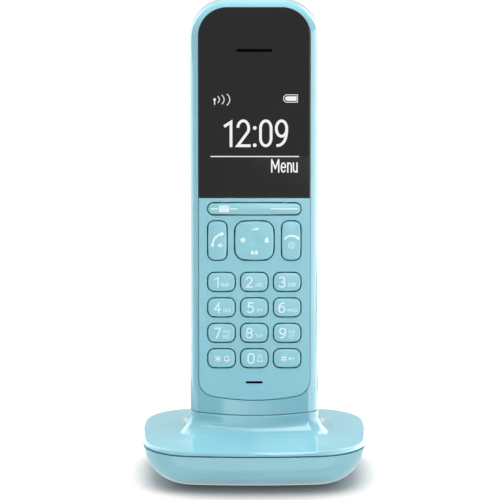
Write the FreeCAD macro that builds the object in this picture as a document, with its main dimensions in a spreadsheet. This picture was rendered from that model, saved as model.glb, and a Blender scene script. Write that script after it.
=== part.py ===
import FreeCAD, Part

import math
import os

import Sketcher

Vector = FreeCAD.Vector

# Driving sizes, in millimetres and degrees.
SIZES = {
    # Overshoot of cuts
    "spare": "0.2",
    # Handset outline
    "body_width": "47",
    "body_length": "152.1",
    "front_depth": "9",
    "top_corner": "13.6",
    "front_round": "4",
    "back_round": "6",
    "sole_sweep": "165",
    "shell_wall": "1.8",
    "seam_chamfer": "0.25",
    # Foot that stands in the well of the cradle
    "foot_height": "8",
    "foot_wall": "1.5",
    "foot_round": "0.8",
    "rim_land": "1",
    "dock_play": "0.3",
    "seat_gap": "0.05",
    "rim_gap": "0.3",
    "lean": "4",
    # Front opening with the window above and the keypad plate below
    "rim_width": "2.95",
    "top_rim": "2.25",
    "chin": "5.28",
    "opening_corner": "10.6",
    "opening_sweep": "80",
    "opening_toe": "6.2",
    "plate_thickness": "1.6",
    "plate_gap": "0.2",
    "plate_edge": "0.4",
    "split_gap": "0.2",
    "ledge_width": "1.6",
    "ledge_thickness": "1.2",
    "bridge_clear": "0.15",
    "bridge_above": "1.6",
    # Keys
    "key_margin": "3.585",
    "key_space": "2.137",
    "key_height": "6.855",
    "key_corner": "2.35",
    "row_space": "2.555",
    "mouth_height": "12.37",
    "nav_space": "4.67",
    "nav_height": "14.29",
    "nav_corner": "3.9",
    "nav_side_space": "2.89",
    "side_key_width": "6.93",
    "side_key_corner": "2.4",
    "softkey_space": "2.355",
    "softkey_height": "4.32",
    "softkey_corner": "2.1",
    "softkey_margin": "1.88",
    "softkey_proud": "0.45",
    "softkey_pivot": "8",
    "key_gap": "0.35",
    "key_proud": "0.6",
    "key_round": "0.45",
    "key_play": "0.05",
    "key_travel": "0.5",
    "flange_reach": "0.3",
    "flange_thickness": "0.7",
    # Navigation key and its pivot
    "nav_drop": "0.65",
    "nav_dome_inset": "2",
    "nav_flange": "0.5",
    "nav_well": "1.05",
    "nav_well_radius": "2.2",
    "nav_dish_radius": "30",
    "nav_dish_depth": "0.3",
    "pivot_disc_radius": "3.4",
    "pivot_disc": "0.2",
    "pivot_air": "0.22",
    "pivot_post": "1.5",
    # Openings for sound
    "ear_drop": "15.75",
    "ear_slot_width": "13",
    "ear_slot_height": "1.1",
    "mouth_rise": "6.82",
    "mouth_slot_width": "6.2",
    "mouth_slot_height": "0.9",
    # Key mat, dome film and main board
    "keymat_depth": "1.3",
    "keymat_sheet": "0.7",
    "keymat_rim": "1",
    "keymat_side": "1.4",
    "keymat_top": "2.6",
    "pip_diameter": "4",
    "pip_gap": "0.05",
    "dome_recess": "4.8",
    "dome_recess_depth": "0.4",
    "dome_diameter": "4.2",
    "dome_height": "0.3",
    "film_thickness": "0.15",
    "board_thickness": "1",
    "board_side": "2.2",
    "board_low": "3.3",
    "board_high": "3.5",
    "board_corner": "4",
    # Display, earpiece, microphone, ringer
    "gasket_thickness": "0.3",
    "gasket_border": "1.6",
    "gasket_corner": "0.8",
    "display_corner": "1.5",
    "display_side": "1.5",
    "display_clear": "4",
    "earpiece_diameter": "15",
    "ear_gasket": "0.4",
    "ear_gasket_border": "1.2",
    "microphone_diameter": "4.4",
    "microphone_height": "1.7",
    "boot_wall": "0.6",
    "boot_play": "0.1",
    "boot_hole": "1.6",
    "ringer_diameter": "26",
    "ringer_thickness": "4.6",
    "ringer_rise": "38",
    "ringer_play": "0.2",
    "ringer_ring": "1",
    "ringer_ring_height": "3",
    "ringer_slot_width": "14",
    "ringer_slot_height": "1.2",
    "ringer_slot_pitch": "2.8",
    "shield_width": "22",
    "shield_height": "18",
    "shield_thickness": "2.5",
    "shield_rise": "20",
    "antenna_width": "28",
    "antenna_height": "4",
    "antenna_sheet": "0.4",
    "antenna_stand": "3",
    "antenna_drop": "6",
    # Battery compartment
    "cell_diameter": "10.5",
    "cell_length": "44.5",
    "cell_nub": "3.8",
    "cell_nub_length": "0.8",
    "cell_play": "0.1",
    "cell_space": "0.5",
    "tub_side": "0.55",
    "tub_floor": "0.95",
    "tub_wall": "1.2",
    "contact_sheet": "0.4",
    "contact_bump": "1",
    "contact_bump_diameter": "3",
    "contact_side": "8",
    "cover_thickness": "1.6",
    "cover_air": "0.85",
    "cover_margin": "0.8",
    "cover_ends": "6.2",
    "cover_corner": "3",
    "cover_gap": "0.2",
    "cover_edge": "0.3",
    "cover_ledge": "1.6",
    "cover_ledge_reach": "1.2",
    "thumb_width": "14",
    "thumb_height": "4",
    "thumb_depth": "0.6",
    # Screws and posts of the handset
    "post_inset": "5.85",
    "post_diameter": "4.4",
    "post_clear": "0.2",
    "post_hole": "5",
    "boss_diameter": "5.6",
    "small_screw": "2",
    "small_screw_play": "0.1",
    "small_head": "4.2",
    "small_head_height": "1.5",
    "small_head_play": "0.2",
    "small_screw_grip": "4.2",
    "prop_diameter": "4",
    "prop_inset": "6",
    # Charging pads in the foot
    "pad_across": "9",
    "pad_width": "4.8",
    "pad_length": "6.8",
    "pad_thickness": "0.5",
    "pad_play": "0.1",
    # Cradle
    "base_width": "82.4",
    "base_depth": "71",
    "base_side": "220",
    "base_corner": "19.6",
    "base_taper": "15",
    "base_round": "14",
    "base_wall": "2",
    "foot_stand": "0.8",
    "bowl_height": "13.4",
    "parting_gap": "0.4",
    "top_thickness": "1.7",
    "top_round": "1.2",
    "under_round": "0.3",
    "collar_height": "7.6",
    "collar_flare": "6.6",
    "well_floor": "1.8",
    "dock_forward": "2.5",
    "lip_inset": "0.9",
    "lip_wall": "1.4",
    "lip_height": "2",
    # Feet and screws of the cradle
    "pad_in_x": "17",
    "pad_in_y": "22",
    "rubber_diameter": "9",
    "rubber_play": "0.2",
    "rubber_recess": "0.8",
    "stud_diameter": "8",
    "stud_height": "3.2",
    "pillar_diameter": "6.4",
    "base_screw": "2.6",
    "base_screw_play": "0.1",
    "base_screw_clear": "0.4",
    "base_screw_grip": "6",
    "base_head": "5",
    "base_head_height": "1.6",
    "base_head_play": "0.2",
    "base_head_recess": "1.8",
    # Inside of the cradle
    "ballast_thickness": "2",
    "ballast_length": "36",
    "ballast_clear": "1",
    "cradle_board_air": "0.2",
    "cradle_board": "1.2",
    "cradle_board_clear": "0.6",
    "cradle_board_front": "3",
    "cradle_board_back": "3",
    "stake_front": "0.5",
    "stake_back": "10.5",
    "stake_post": "4.6",
    "stake_pin": "2",
    "stake_play": "0.1",
    # Charging springs
    "leaf_width": "3.6",
    "leaf_sheet": "0.4",
    "leaf_root": "14",
    "leaf_tail": "3",
    "leaf_nose": "2.6",
    "leaf_bend": "1.2",
    "leaf_gap": "0.1",
    "slot_width": "5",
    "slot_length": "11",
    "slot_corner": "1",
    "slot_shift": "1.5",
    # Power socket at the back
    "socket_width": "10",
    "socket_height": "6",
    "socket_length": "12",
    "socket_setback": "5.5",
    "socket_play": "0.3",
    "socket_hole_width": "7.6",
    "socket_hole_height": "3.4",
    "socket_hole_depth": "6",
    "pin_diameter": "1",
    "pin_length": "5",
    "pin_pitch": "3.8",
}

document = FreeCAD.newDocument("CordlessHandset")
sheet = document.addObject("Spreadsheet::Sheet", "Sizes")
for row, (alias, text) in enumerate(SIZES.items(), start=1):
    sheet.set(f"A{row}", alias)
    sheet.set(f"B{row}", text)
    sheet.setAlias(f"B{row}", alias)
document.recompute()


class Size:
    """A number together with the sheet expression that gives it."""

    def __init__(self, value, text):
        self.value = float(value)
        self.text = text

    def __add__(self, other):
        other = as_size(other)
        return Size(self.value + other.value, f"({self.text} + {other.text})")

    def __radd__(self, other):
        return as_size(other) + self

    def __sub__(self, other):
        other = as_size(other)
        return Size(self.value - other.value, f"({self.text} - {other.text})")

    def __rsub__(self, other):
        return as_size(other) - self

    def __mul__(self, other):
        other = as_size(other)
        return Size(self.value * other.value, f"({self.text} * {other.text})")

    def __rmul__(self, other):
        return as_size(other) * self

    def __truediv__(self, other):
        other = as_size(other)
        return Size(self.value / other.value, f"({self.text} / {other.text})")

    def __neg__(self):
        return as_size(0) - self


def as_size(number):
    """Wrap a plain number; a size is passed through."""
    if isinstance(number, Size):
        return number
    return Size(number, f"({float(number):g})")


def sine(angle):
    """Sine of an angle in degrees."""
    return Size(math.sin(math.radians(angle.value)), f"sin({angle.text} * 1 deg)")


def cosine(angle):
    """Cosine of an angle in degrees."""
    return Size(math.cos(math.radians(angle.value)), f"cos({angle.text} * 1 deg)")


class Sheet:
    """The driving sizes by name, read back from the sheet."""


for alias in SIZES:
    setattr(Sheet, alias, Size(getattr(sheet, alias), f"Sizes.{alias}"))
S = Sheet

spare = S.spare

# Handset frame: x to the right, y to the back, z up the handset.
# y = 0 is the seam between front frame and rear shell, z = 0 the rim of the cradle collar.
front_face = -S.front_depth
seat = front_face + S.plate_thickness
ledge_back = seat + S.ledge_thickness
rear_depth = S.tub_floor + S.cell_play + S.cell_diameter + S.cover_air + S.cover_thickness
section_depth = S.front_depth + rear_depth
section_middle = (rear_depth - S.front_depth) / 2
sole_rise = S.body_width * S.body_width / (8 * S.sole_sweep)
inner_bottom = sole_rise + S.shell_wall
inner_top = S.body_length - S.shell_wall
inner_width = S.body_width - 2 * S.shell_wall
inner_corner = S.top_corner - S.shell_wall
foot_inset = S.rim_land + S.dock_play
foot_bottom = -S.foot_height

opening_width = S.body_width - 2 * S.rim_width
opening_top = S.body_length - S.top_rim
opening_height = opening_top - S.chin

key_width = (opening_width - 2 * S.key_margin - 2 * S.key_space) / 3
column_pitch = key_width + S.key_space
row_pitch = S.key_height + S.row_space
bottom_row = S.chin + S.mouth_height + S.key_height / 2
nav_middle = bottom_row + 3 * row_pitch + S.key_height / 2 + S.nav_space + S.nav_height / 2
softkey_middle = nav_middle + S.nav_height / 2 + S.softkey_space + S.softkey_height / 2
split = softkey_middle + S.softkey_height / 2 + S.softkey_margin
side_key_x = opening_width / 2 - S.key_margin - S.side_key_width / 2
nav_width = 2 * (side_key_x - S.side_key_width / 2 - S.nav_side_space)
softkey_width = opening_width - 2 * S.key_margin
flange_edge = S.key_gap + S.flange_reach
flange_front = seat + S.key_play
flange_back = flange_front + S.flange_thickness
bridge_bottom = softkey_middle + S.softkey_height / 2 + flange_edge + S.bridge_clear
bridge_top = split + S.bridge_above

mat_back = ledge_back + S.keymat_depth
sheet_front = mat_back - S.keymat_sheet
pip_front = flange_back + S.key_travel + S.pip_gap
board_front = mat_back + S.film_thickness
board_back = board_front + S.board_thickness
board_bottom = S.chin + S.board_low
board_top = opening_top - S.board_high
mat_width = S.body_width - 2 * S.shell_wall - 2 * S.keymat_side
mat_bottom = bottom_row - S.key_height / 2 - flange_edge - S.keymat_rim - S.key_gap
mat_top = split - S.keymat_top

ear_level = opening_top - S.ear_drop
mouth_level = S.chin + S.mouth_rise
screw_level = softkey_middle + S.softkey_height / 2 + S.post_clear + S.post_diameter / 2
screw_x = opening_width / 2 - S.ledge_width - S.post_inset
ringer_level = split + S.ringer_rise
rear_inner = rear_depth - S.shell_wall
cover_floor = rear_depth - S.cover_thickness

cell_x = S.cell_diameter / 2 + S.cell_space / 2
cell_y = S.tub_floor + S.cell_play + S.cell_diameter / 2
tub_width = 2 * S.cell_diameter + S.cell_space + 2 * S.tub_side
tub_length = S.cell_length + 2 * (S.contact_sheet + S.contact_bump + S.cell_play)
tub_top = screw_level - S.boss_diameter / 2 - S.tub_wall - S.key_gap
tub_bottom = tub_top - tub_length
tub_middle = tub_top - tub_length / 2
cover_bottom = tub_bottom - S.cover_ends
cover_top = screw_level + S.cover_ends
cover_length = cover_top - cover_bottom
cover_middle = (cover_top + cover_bottom) / 2
cover_width = S.body_width - 2 * (S.back_round + S.cover_margin)

# Cradle frame: the same axes, z = 0 under the rubber feet.
parting = S.foot_stand + S.bowl_height
plate_bottom = parting + S.parting_gap
plate_top = plate_bottom + S.top_thickness
rim_height = plate_top + S.collar_height
inner_floor = S.foot_stand + S.base_wall
stud_top = inner_floor + S.stud_height
cradle_board_bottom = inner_floor + S.ballast_thickness + S.cradle_board_air
cradle_board_top = cradle_board_bottom + S.cradle_board
socket_face = S.base_depth / 2 - S.socket_setback
socket_middle = cradle_board_top + S.socket_height / 2
leaf_edge = S.pad_across + S.leaf_width / 2
rubber_x = (leaf_edge + S.base_width / 2 - S.pad_in_x) / 2
rubber_y = S.base_depth / 2 - S.pad_in_y
head_seat = S.foot_stand + S.rubber_recess + S.base_head_recess
lean_sine = sine(S.lean)
lean_cosine = cosine(S.lean)


def docked(back, up):
    """Cradle y and z of a point given by y and z of the handset frame."""
    y = back * lean_cosine + up * lean_sine - S.dock_forward
    z = rim_height - back * lean_sine + up * lean_cosine
    return y, z


def leaning_placement(across, back, up):
    """Expression of a frame that leans like the handset, at a point of the handset frame."""
    y, z = docked(as_size(back), as_size(up))
    return placement_text(as_size(across), y, z)


def placement_text(x, y, z):
    """Expression of a frame at a point, turned about x by the lean."""
    return (
        f"placement(vector({x.text}; {y.text}; {z.text}); "
        f"rotation(vector(1; 0; 0); -{S.lean.text}))"
    )


def bind(item, prop, size):
    """Drive one property of an object from the sheet."""
    item.setExpression(prop, as_size(size).text)


parts = {}


def cradle_body(label, separate=False):
    """New body in the cradle frame; separate allows several loose solids."""
    body = document.addObject("PartDesign::Body", label)
    body.Label = label
    body.AllowCompound = separate
    parts[label] = body
    return body


def handset_body(label, separate=False):
    """New body that stands with the handset in the cradle."""
    body = cradle_body(label, separate)
    body.setExpression("Placement", leaning_placement(0, 0, 0))
    return body


ROLES = {"front": "XZ_Plane", "flat": "XY_Plane"}


def blank_sketch(body, plane):
    """Sketch on the body's own plane across y ("front") or across z ("flat")."""
    sketch = body.newObject("Sketcher::SketchObject", "Sketch")
    origin_plane = next(f for f in body.Origin.OriginFeatures if f.Role == ROLES[plane])
    sketch.AttachmentSupport = [(origin_plane, "")]
    sketch.MapMode = "FlatFace"
    return sketch


def new_sketch(body, plane, level, across=0, up=0):
    """Sketch at a level along its plane's axis, its origin moved in the plane."""
    sketch = blank_sketch(body, plane)
    bind(sketch, "AttachmentOffset.Base.x", across)
    bind(sketch, "AttachmentOffset.Base.y", up)
    bind(sketch, "AttachmentOffset.Base.z", -as_size(level) if plane == "front" else level)
    return sketch


def leaning_sketch(body, back, up, across=0, plane="flat"):
    """Sketch of a cradle body that leans like the handset, across its axis or across its depth."""
    sketch = blank_sketch(body, plane)
    y, z = docked(as_size(back), as_size(up))
    x = as_size(across)
    offset = placement_text(x, z, -y) if plane == "front" else placement_text(x, y, z)
    sketch.setExpression("AttachmentOffset", offset)
    return sketch


def faces_front(sketch):
    """True for a sketch across y, whose normal points to the front."""
    return sketch.AttachmentSupport[0][0].Role == ROLES["front"]


def slab(body, sketch, depth):
    """Add material from the sketch towards the back or upwards."""
    pad = body.newObject("PartDesign::Pad", "Pad")
    pad.Profile = sketch
    pad.Reversed = faces_front(sketch)
    bind(pad, "Length", depth)
    return pad


def cut(body, sketch, depth):
    """Remove material from the sketch towards the back or upwards."""
    pocket = body.newObject("PartDesign::Pocket", "Pocket")
    pocket.Profile = sketch
    pocket.Reversed = not faces_front(sketch)
    bind(pocket, "Length", depth)
    return pocket


def edges_at(shape, axis, level, wanted=None):
    """Names of the edges that lie in one plane across an axis."""
    low = {"y": "YMin", "z": "ZMin"}[axis]
    high = {"y": "YMax", "z": "ZMax"}[axis]
    names = []
    for number, edge in enumerate(shape.Edges, start=1):
        box = edge.BoundBox
        inside = getattr(box, low) > level.value - 1e-3 and getattr(box, high) < level.value + 1e-3
        if inside and (wanted is None or wanted(box)):
            names.append(f"Edge{number}")
    return names


def round_edges(body, axis, level, radius, wanted=None):
    """Fillet the edges of the latest feature that lie in one plane."""
    document.recompute()
    base = body.Tip
    fillet = body.newObject("PartDesign::Fillet", "Fillet")
    fillet.Base = (base, edges_at(base.Shape, axis, as_size(level), wanted))
    bind(fillet, "Radius", radius)
    return fillet


def bevel_edges(body, axis, level, size, wanted=None):
    """Chamfer the edges of the latest feature that lie in one plane."""
    document.recompute()
    base = body.Tip
    chamfer = body.newObject("PartDesign::Chamfer", "Chamfer")
    chamfer.Base = (base, edges_at(base.Shape, axis, as_size(level), wanted))
    bind(chamfer, "Size", size)
    return chamfer


def above_rim(box):
    """True for an edge that is not the bottom edge of the handset."""
    return box.ZMax > 1


def straight(start, end):
    """Line between two points of a sketch."""
    return Part.LineSegment(Vector(*start, 0), Vector(*end, 0))


def curve(middle, radius, start, end):
    """Arc round a point of a sketch between two angles in degrees."""
    circle = Part.Circle(Vector(*middle, 0), Vector(0, 0, 1), radius)
    return Part.ArcOfCircle(circle, math.radians(start), math.radians(end))


def constrain(sketch, relations, measures):
    """Add relations, then measures that follow the sheet."""
    measures = [(kind, points, as_size(size)) for kind, points, size in measures]
    constraints = [Sketcher.Constraint(*relation) for relation in relations]
    constraints += [Sketcher.Constraint(kind, *points, size.value) for kind, points, size in measures]
    first = sketch.ConstraintCount + len(relations)
    sketch.addConstraint(constraints)
    for index, (_, _, size) in enumerate(measures, start=first):
        sketch.setExpression(f"Constraints[{index}]", size.text)


def loop(first, count, kind="Tangent", skip=()):
    """Relations that join count curves end to start."""
    return [
        ("Coincident" if step in skip else kind, first + step, 2, first + (step + 1) % count, 1)
        for step in range(count)
    ]


def rectangle(sketch, width, height):
    """Rectangle centred on the sketch origin."""
    width = as_size(width)
    height = as_size(height)
    g = sketch.GeometryCount
    x = width.value / 2
    y = height.value / 2
    corners = [(-x, -y), (x, -y), (x, y), (-x, y)]
    sides = [straight(corners[n], corners[(n + 1) % 4]) for n in range(4)]
    sketch.addGeometry(sides, False)
    relations = loop(g, 4, "Coincident")
    relations += [("Horizontal", g), ("Horizontal", g + 2), ("Vertical", g + 1), ("Vertical", g + 3)]
    relations += [("Symmetric", g, 1, g + 2, 1, -1, 1)]
    measures = [
        ("DistanceX", (g, 1, g, 2), width),
        ("DistanceY", (g + 1, 1, g + 1, 2), height),
    ]
    constrain(sketch, relations, measures)


def rounded_rectangle(sketch, width, height, radius):
    """Rectangle with rounded corners, centred on the sketch origin."""
    width = as_size(width)
    height = as_size(height)
    radius = as_size(radius)
    g = sketch.GeometryCount
    r = radius.value
    x = width.value / 2
    y = height.value / 2
    geometry = [
        straight((r - x, -y), (x - r, -y)),
        curve((x - r, r - y), r, -90, 0),
        straight((x, r - y), (x, y - r)),
        curve((x - r, y - r), r, 0, 90),
        straight((x - r, y), (r - x, y)),
        curve((r - x, y - r), r, 90, 180),
        straight((-x, y - r), (-x, r - y)),
        curve((r - x, r - y), r, 180, 270),
    ]
    sketch.addGeometry(geometry, False)
    relations = loop(g, 8)
    relations += [("Horizontal", g), ("Horizontal", g + 4), ("Vertical", g + 2), ("Vertical", g + 6)]
    relations += [("Equal", g + 1, g + corner) for corner in (3, 5, 7)]
    relations += [("Symmetric", g + 1, 3, g + 5, 3, -1, 1)]
    measures = [
        ("Radius", (g + 1,), radius),
        ("DistanceX", (g + 6, 1, g + 2, 1), width),
        ("DistanceY", (g, 1, g + 4, 1), height),
    ]
    constrain(sketch, relations, measures)


def handset_section(sketch, inset):
    """Section across the handset, set in by inset, with its front towards the bottom of the sketch."""
    inset = as_size(inset)
    width = S.body_width - 2 * inset
    height = section_depth - 2 * inset
    front = S.front_round - inset
    back = S.back_round - inset
    g = sketch.GeometryCount
    x = width.value / 2
    y = height.value / 2
    f = front.value
    b = back.value
    geometry = [
        straight((f - x, -y), (x - f, -y)),
        curve((x - f, f - y), f, -90, 0),
        straight((x, f - y), (x, y - b)),
        curve((x - b, y - b), b, 0, 90),
        straight((x - b, y), (b - x, y)),
        curve((b - x, y - b), b, 90, 180),
        straight((-x, y - b), (-x, f - y)),
        curve((f - x, f - y), f, 180, 270),
    ]
    sketch.addGeometry(geometry, False)
    relations = loop(g, 8)
    relations += [("Vertical", g + 2), ("Vertical", g + 6), ("Horizontal", g + 4)]
    relations += [("Equal", g + 1, g + 7), ("Equal", g + 3, g + 5)]
    relations += [("Symmetric", g + 1, 3, g + 7, 3, -2)]
    measures = [
        ("Radius", (g + 1,), front),
        ("Radius", (g + 3,), back),
        ("DistanceX", (g + 6, 1, g + 2, 1), width),
        ("DistanceY", (g, 1, g + 4, 1), height),
        ("DistanceY", (g, 1, -1, 1), height / 2),
    ]
    constrain(sketch, relations, measures)


def arch(sketch, width, height, radius):
    """Straight bottom edge through the sketch origin, straight sides and rounded top corners."""
    g = sketch.GeometryCount
    r = radius.value
    x = width.value / 2
    y = height.value
    geometry = [
        straight((-x, 0), (x, 0)),
        straight((x, 0), (x, y - r)),
        curve((x - r, y - r), r, 0, 90),
        straight((x - r, y), (r - x, y)),
        curve((r - x, y - r), r, 90, 180),
        straight((-x, y - r), (-x, 0)),
    ]
    sketch.addGeometry(geometry, False)
    relations = loop(g, 6, skip=(0, 5))
    relations += [("Horizontal", g + 3), ("Vertical", g + 1), ("Vertical", g + 5)]
    relations += [("Equal", g + 2, g + 4), ("Symmetric", g, 1, g, 2, -1, 1)]
    measures = [
        ("Radius", (g + 2,), radius),
        ("DistanceX", (g, 1, g, 2), width),
        ("DistanceY", (-1, 1, g + 3, 1), height),
    ]
    constrain(sketch, relations, measures)


def swept_sole(sketch, width, reach, above):
    """Region above or under the swept line on which handset and collar meet.

    The line is an arc that is lowest at the sketch origin.
    """
    width = as_size(width)
    g = sketch.GeometryCount
    x = width.value / 2
    y = reach.value if above else -reach.value
    s = S.sole_sweep.value
    low = s - math.sqrt(s * s - x * x)
    angle = math.degrees(math.asin(x / s))
    geometry = [
        curve((0, s), s, -90 - angle, angle - 90),
        straight((x, low), (x, y)),
        straight((x, y), (-x, y)),
        straight((-x, y), (-x, low)),
    ]
    sketch.addGeometry(geometry, False)
    relations = loop(g, 4, "Coincident")
    relations += [("Vertical", g + 1), ("Vertical", g + 3)]
    relations += [("PointOnObject", g, 3, -2), ("Symmetric", g + 2, 1, g + 2, 2, -2)]
    ends = (-1, 1, g + 2, 1) if above else (g + 2, 1, -1, 1)
    measures = [
        ("Radius", (g,), S.sole_sweep),
        ("DistanceY", (-1, 1, g, 3), S.sole_sweep),
        ("DistanceX", (g + 2, 2, g + 2, 1), width),
        ("DistanceY", ends, reach),
    ]
    constrain(sketch, relations, measures)


def front_opening(sketch, inset):
    """Outline of the front opening, or of a piece set in from it by inset.

    Rounded top corners, a swept bottom edge through the sketch origin and small toes beside it.
    """
    inset = as_size(inset)
    width = opening_width - 2 * inset
    height = opening_height - 2 * inset
    top = S.opening_corner - inset
    sweep = S.opening_sweep - inset
    toe = S.opening_toe - inset
    g = sketch.GeometryCount
    x = width.value / 2
    y = height.value
    t = top.value
    s = sweep.value
    r = toe.value
    reach = math.sqrt((s - r) ** 2 - (x - r) ** 2)
    angle = math.degrees(math.asin((x - r) / (s - r)))
    geometry = [
        curve((0, s), s, -90 - angle, angle - 90),
        curve((x - r, s - reach), r, angle - 90, 0),
        straight((x, s - reach), (x, y - t)),
        curve((x - t, y - t), t, 0, 90),
        straight((x - t, y), (t - x, y)),
        curve((t - x, y - t), t, 90, 180),
        straight((-x, y - t), (-x, s - reach)),
        curve((r - x, s - reach), r, 180, 270 - angle),
    ]
    sketch.addGeometry(geometry, False)
    relations = loop(g, 8)
    relations += [("Vertical", g + 2), ("Vertical", g + 6), ("Equal", g + 3, g + 5), ("Equal", g + 1, g + 7)]
    relations += [("PointOnObject", g, 3, -2), ("Symmetric", g + 3, 3, g + 5, 3, -2)]
    measures = [
        ("Radius", (g,), sweep),
        ("DistanceY", (-1, 1, g, 3), sweep),
        ("Radius", (g + 3,), top),
        ("Radius", (g + 1,), toe),
        ("DistanceX", (g + 6, 1, g + 2, 1), width),
        ("DistanceY", (-1, 1, g + 4, 1), height),
    ]
    constrain(sketch, relations, measures)


def base_plan(sketch, inset):
    """Plan of the cradle set in by inset: four bowed sides and four round corners."""
    inset = as_size(inset)
    side = S.base_side - inset
    corner = S.base_corner - inset
    across = 2 * S.base_side - S.base_width
    along = 2 * S.base_side - S.base_depth
    g = sketch.GeometryCount
    r = corner.value
    big = side.value
    a = across.value / 2
    b = along.value / 2
    far = (big - r) ** 2
    # Corner centre (p, q) lies at side - corner from the centres (-a, 0) and (0, -b).
    k = (b * b - a * a) / (2 * a)
    m = b / a
    qa = m * m + 1
    qb = 2 * m * (k + a)
    qc = (k + a) ** 2 - far
    q = (math.sqrt(qb * qb - 4 * qa * qc) - qb) / (2 * qa)
    p = m * q + k
    low = math.degrees(math.atan2(q, p + a))
    high = math.degrees(math.atan2(q + b, p))
    geometry = [
        curve((-a, 0), big, -low, low),
        curve((p, q), r, low, high),
        curve((0, -b), big, high, 180 - high),
        curve((-p, q), r, 180 - high, 180 - low),
        curve((a, 0), big, 180 - low, 180 + low),
        curve((-p, -q), r, 180 + low, 180 + high),
        curve((0, b), big, 180 + high, 360 - high),
        curve((p, -q), r, 360 - high, 360 - low),
    ]
    sketch.addGeometry(geometry, False)
    relations = loop(g, 8)
    relations += [("PointOnObject", g, 3, -1), ("PointOnObject", g + 2, 3, -2)]
    relations += [("Symmetric", g, 3, g + 4, 3, -1, 1), ("Symmetric", g + 2, 3, g + 6, 3, -1, 1)]
    relations += [("Equal", g, g + other) for other in (2, 4, 6)]
    relations += [("Equal", g + 1, g + other) for other in (3, 5, 7)]
    measures = [
        ("Radius", (g,), side),
        ("Radius", (g + 1,), corner),
        ("DistanceX", (g, 3, g + 4, 3), across),
        ("DistanceY", (g + 2, 3, g + 6, 3), along),
    ]
    constrain(sketch, relations, measures)


def circles(sketch, places, diameter):
    """Equal circles at places given as pairs of sizes."""
    diameter = as_size(diameter)
    g = sketch.GeometryCount
    places = [(as_size(x), as_size(y)) for x, y in places]
    for x, y in places:
        middle = Vector(x.value, y.value, 0)
        sketch.addGeometry(Part.Circle(middle, Vector(0, 0, 1), diameter.value / 2), False)
    relations = [("Equal", g, g + n) for n in range(1, len(places))]
    measures = [("Diameter", (g,), diameter)]
    for n, (x, y) in enumerate(places):
        measures.append(("DistanceX", (-1, 1, g + n, 3), x))
        measures.append(("DistanceY", (-1, 1, g + n, 3), y))
    constrain(sketch, relations, measures)


def rounded_slab(body, start, end, width, height, radius, across=0, up=0):
    """Rounded plate across y between two levels."""
    sketch = new_sketch(body, "front", start, across, up)
    rounded_rectangle(sketch, width, height, radius)
    return slab(body, sketch, end - start)


def rounded_cut(body, start, end, width, height, radius, across=0, up=0):
    """Rounded hole across y between two levels."""
    sketch = new_sketch(body, "front", start, across, up)
    rounded_rectangle(sketch, width, height, radius)
    return cut(body, sketch, end - start)


def round_slab(body, plane, start, end, places, diameter):
    """Discs between two levels."""
    sketch = new_sketch(body, plane, start)
    circles(sketch, places, diameter)
    return slab(body, sketch, end - start)


def round_cut(body, plane, start, end, places, diameter):
    """Round holes between two levels."""
    sketch = new_sketch(body, plane, start)
    circles(sketch, places, diameter)
    return cut(body, sketch, end - start)


def mirrored(x, y):
    """A place and its twin on the other side."""
    return [(x, y), (-as_size(x), y)]


# Keys: middle across, middle up, width, height and corner radius.
KEYS = {}
for n, name in enumerate(["key_1", "key_2", "key_3", "key_4", "key_5", "key_6",
                          "key_7", "key_8", "key_9", "key_star", "key_0", "key_hash"]):
    column = (n % 3 - 1) * column_pitch
    level = bottom_row + (3 - n // 3) * row_pitch
    KEYS[name] = (column, level, key_width, S.key_height, S.key_corner)
KEYS["call_key"] = (-side_key_x, nav_middle, S.side_key_width, S.nav_height, S.side_key_corner)
KEYS["end_key"] = (side_key_x, nav_middle, S.side_key_width, S.nav_height, S.side_key_corner)
NAV = (as_size(0), nav_middle, nav_width, S.nav_height, S.nav_corner)
SOFT = (as_size(0), softkey_middle, softkey_width, S.softkey_height, S.softkey_corner)
PIPS = [(x, z) for x, z, _, _, _ in KEYS.values()] + mirrored(softkey_width / 3, softkey_middle)
NAV_REACH = S.nav_height / 2 - S.nav_dome_inset
DOMES = PIPS + [(as_size(0), nav_middle)] + mirrored(NAV_REACH, nav_middle)
DOMES += [(as_size(0), nav_middle + NAV_REACH), (as_size(0), nav_middle - NAV_REACH)]
POSTS = mirrored(screw_x, screw_level)


def make_front_frame():
    """Front half of the handset shell, with the opening and its ledge."""
    body = handset_body("front_frame")
    sketch = new_sketch(body, "front", front_face)
    arch(sketch, S.body_width, S.body_length, S.top_corner)
    slab(body, sketch, S.front_depth)
    round_edges(body, "y", front_face, S.front_round, above_rim)
    bevel_edges(body, "y", 0, S.seam_chamfer, above_rim)
    sketch = new_sketch(body, "front", front_face - spare)
    swept_sole(sketch, S.body_width + spare, S.foot_height, above=False)
    cut(body, sketch, S.front_depth + 2 * spare)
    sketch = new_sketch(body, "front", front_face - spare, 0, S.chin)
    front_opening(sketch, 0)
    cut(body, sketch, S.plate_thickness + spare)
    sketch = new_sketch(body, "front", seat - spare, 0, S.chin + S.ledge_width)
    front_opening(sketch, S.ledge_width)
    cut(body, sketch, S.ledge_thickness + 2 * spare)
    sketch = new_sketch(body, "front", ledge_back, 0, inner_bottom)
    arch(sketch, inner_width, inner_top - inner_bottom, inner_corner)
    cut(body, sketch, spare - ledge_back)
    sketch = new_sketch(body, "front", seat, 0, (bridge_bottom + bridge_top) / 2)
    rectangle(sketch, opening_width - S.ledge_width, bridge_top - bridge_bottom)
    slab(body, sketch, S.ledge_thickness)
    round_slab(body, "front", ledge_back - spare, as_size(0), POSTS, S.post_diameter)
    pilot = S.small_screw + S.small_screw_play
    round_cut(body, "front", -S.small_screw_grip - spare, spare, POSTS, pilot)


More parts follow.
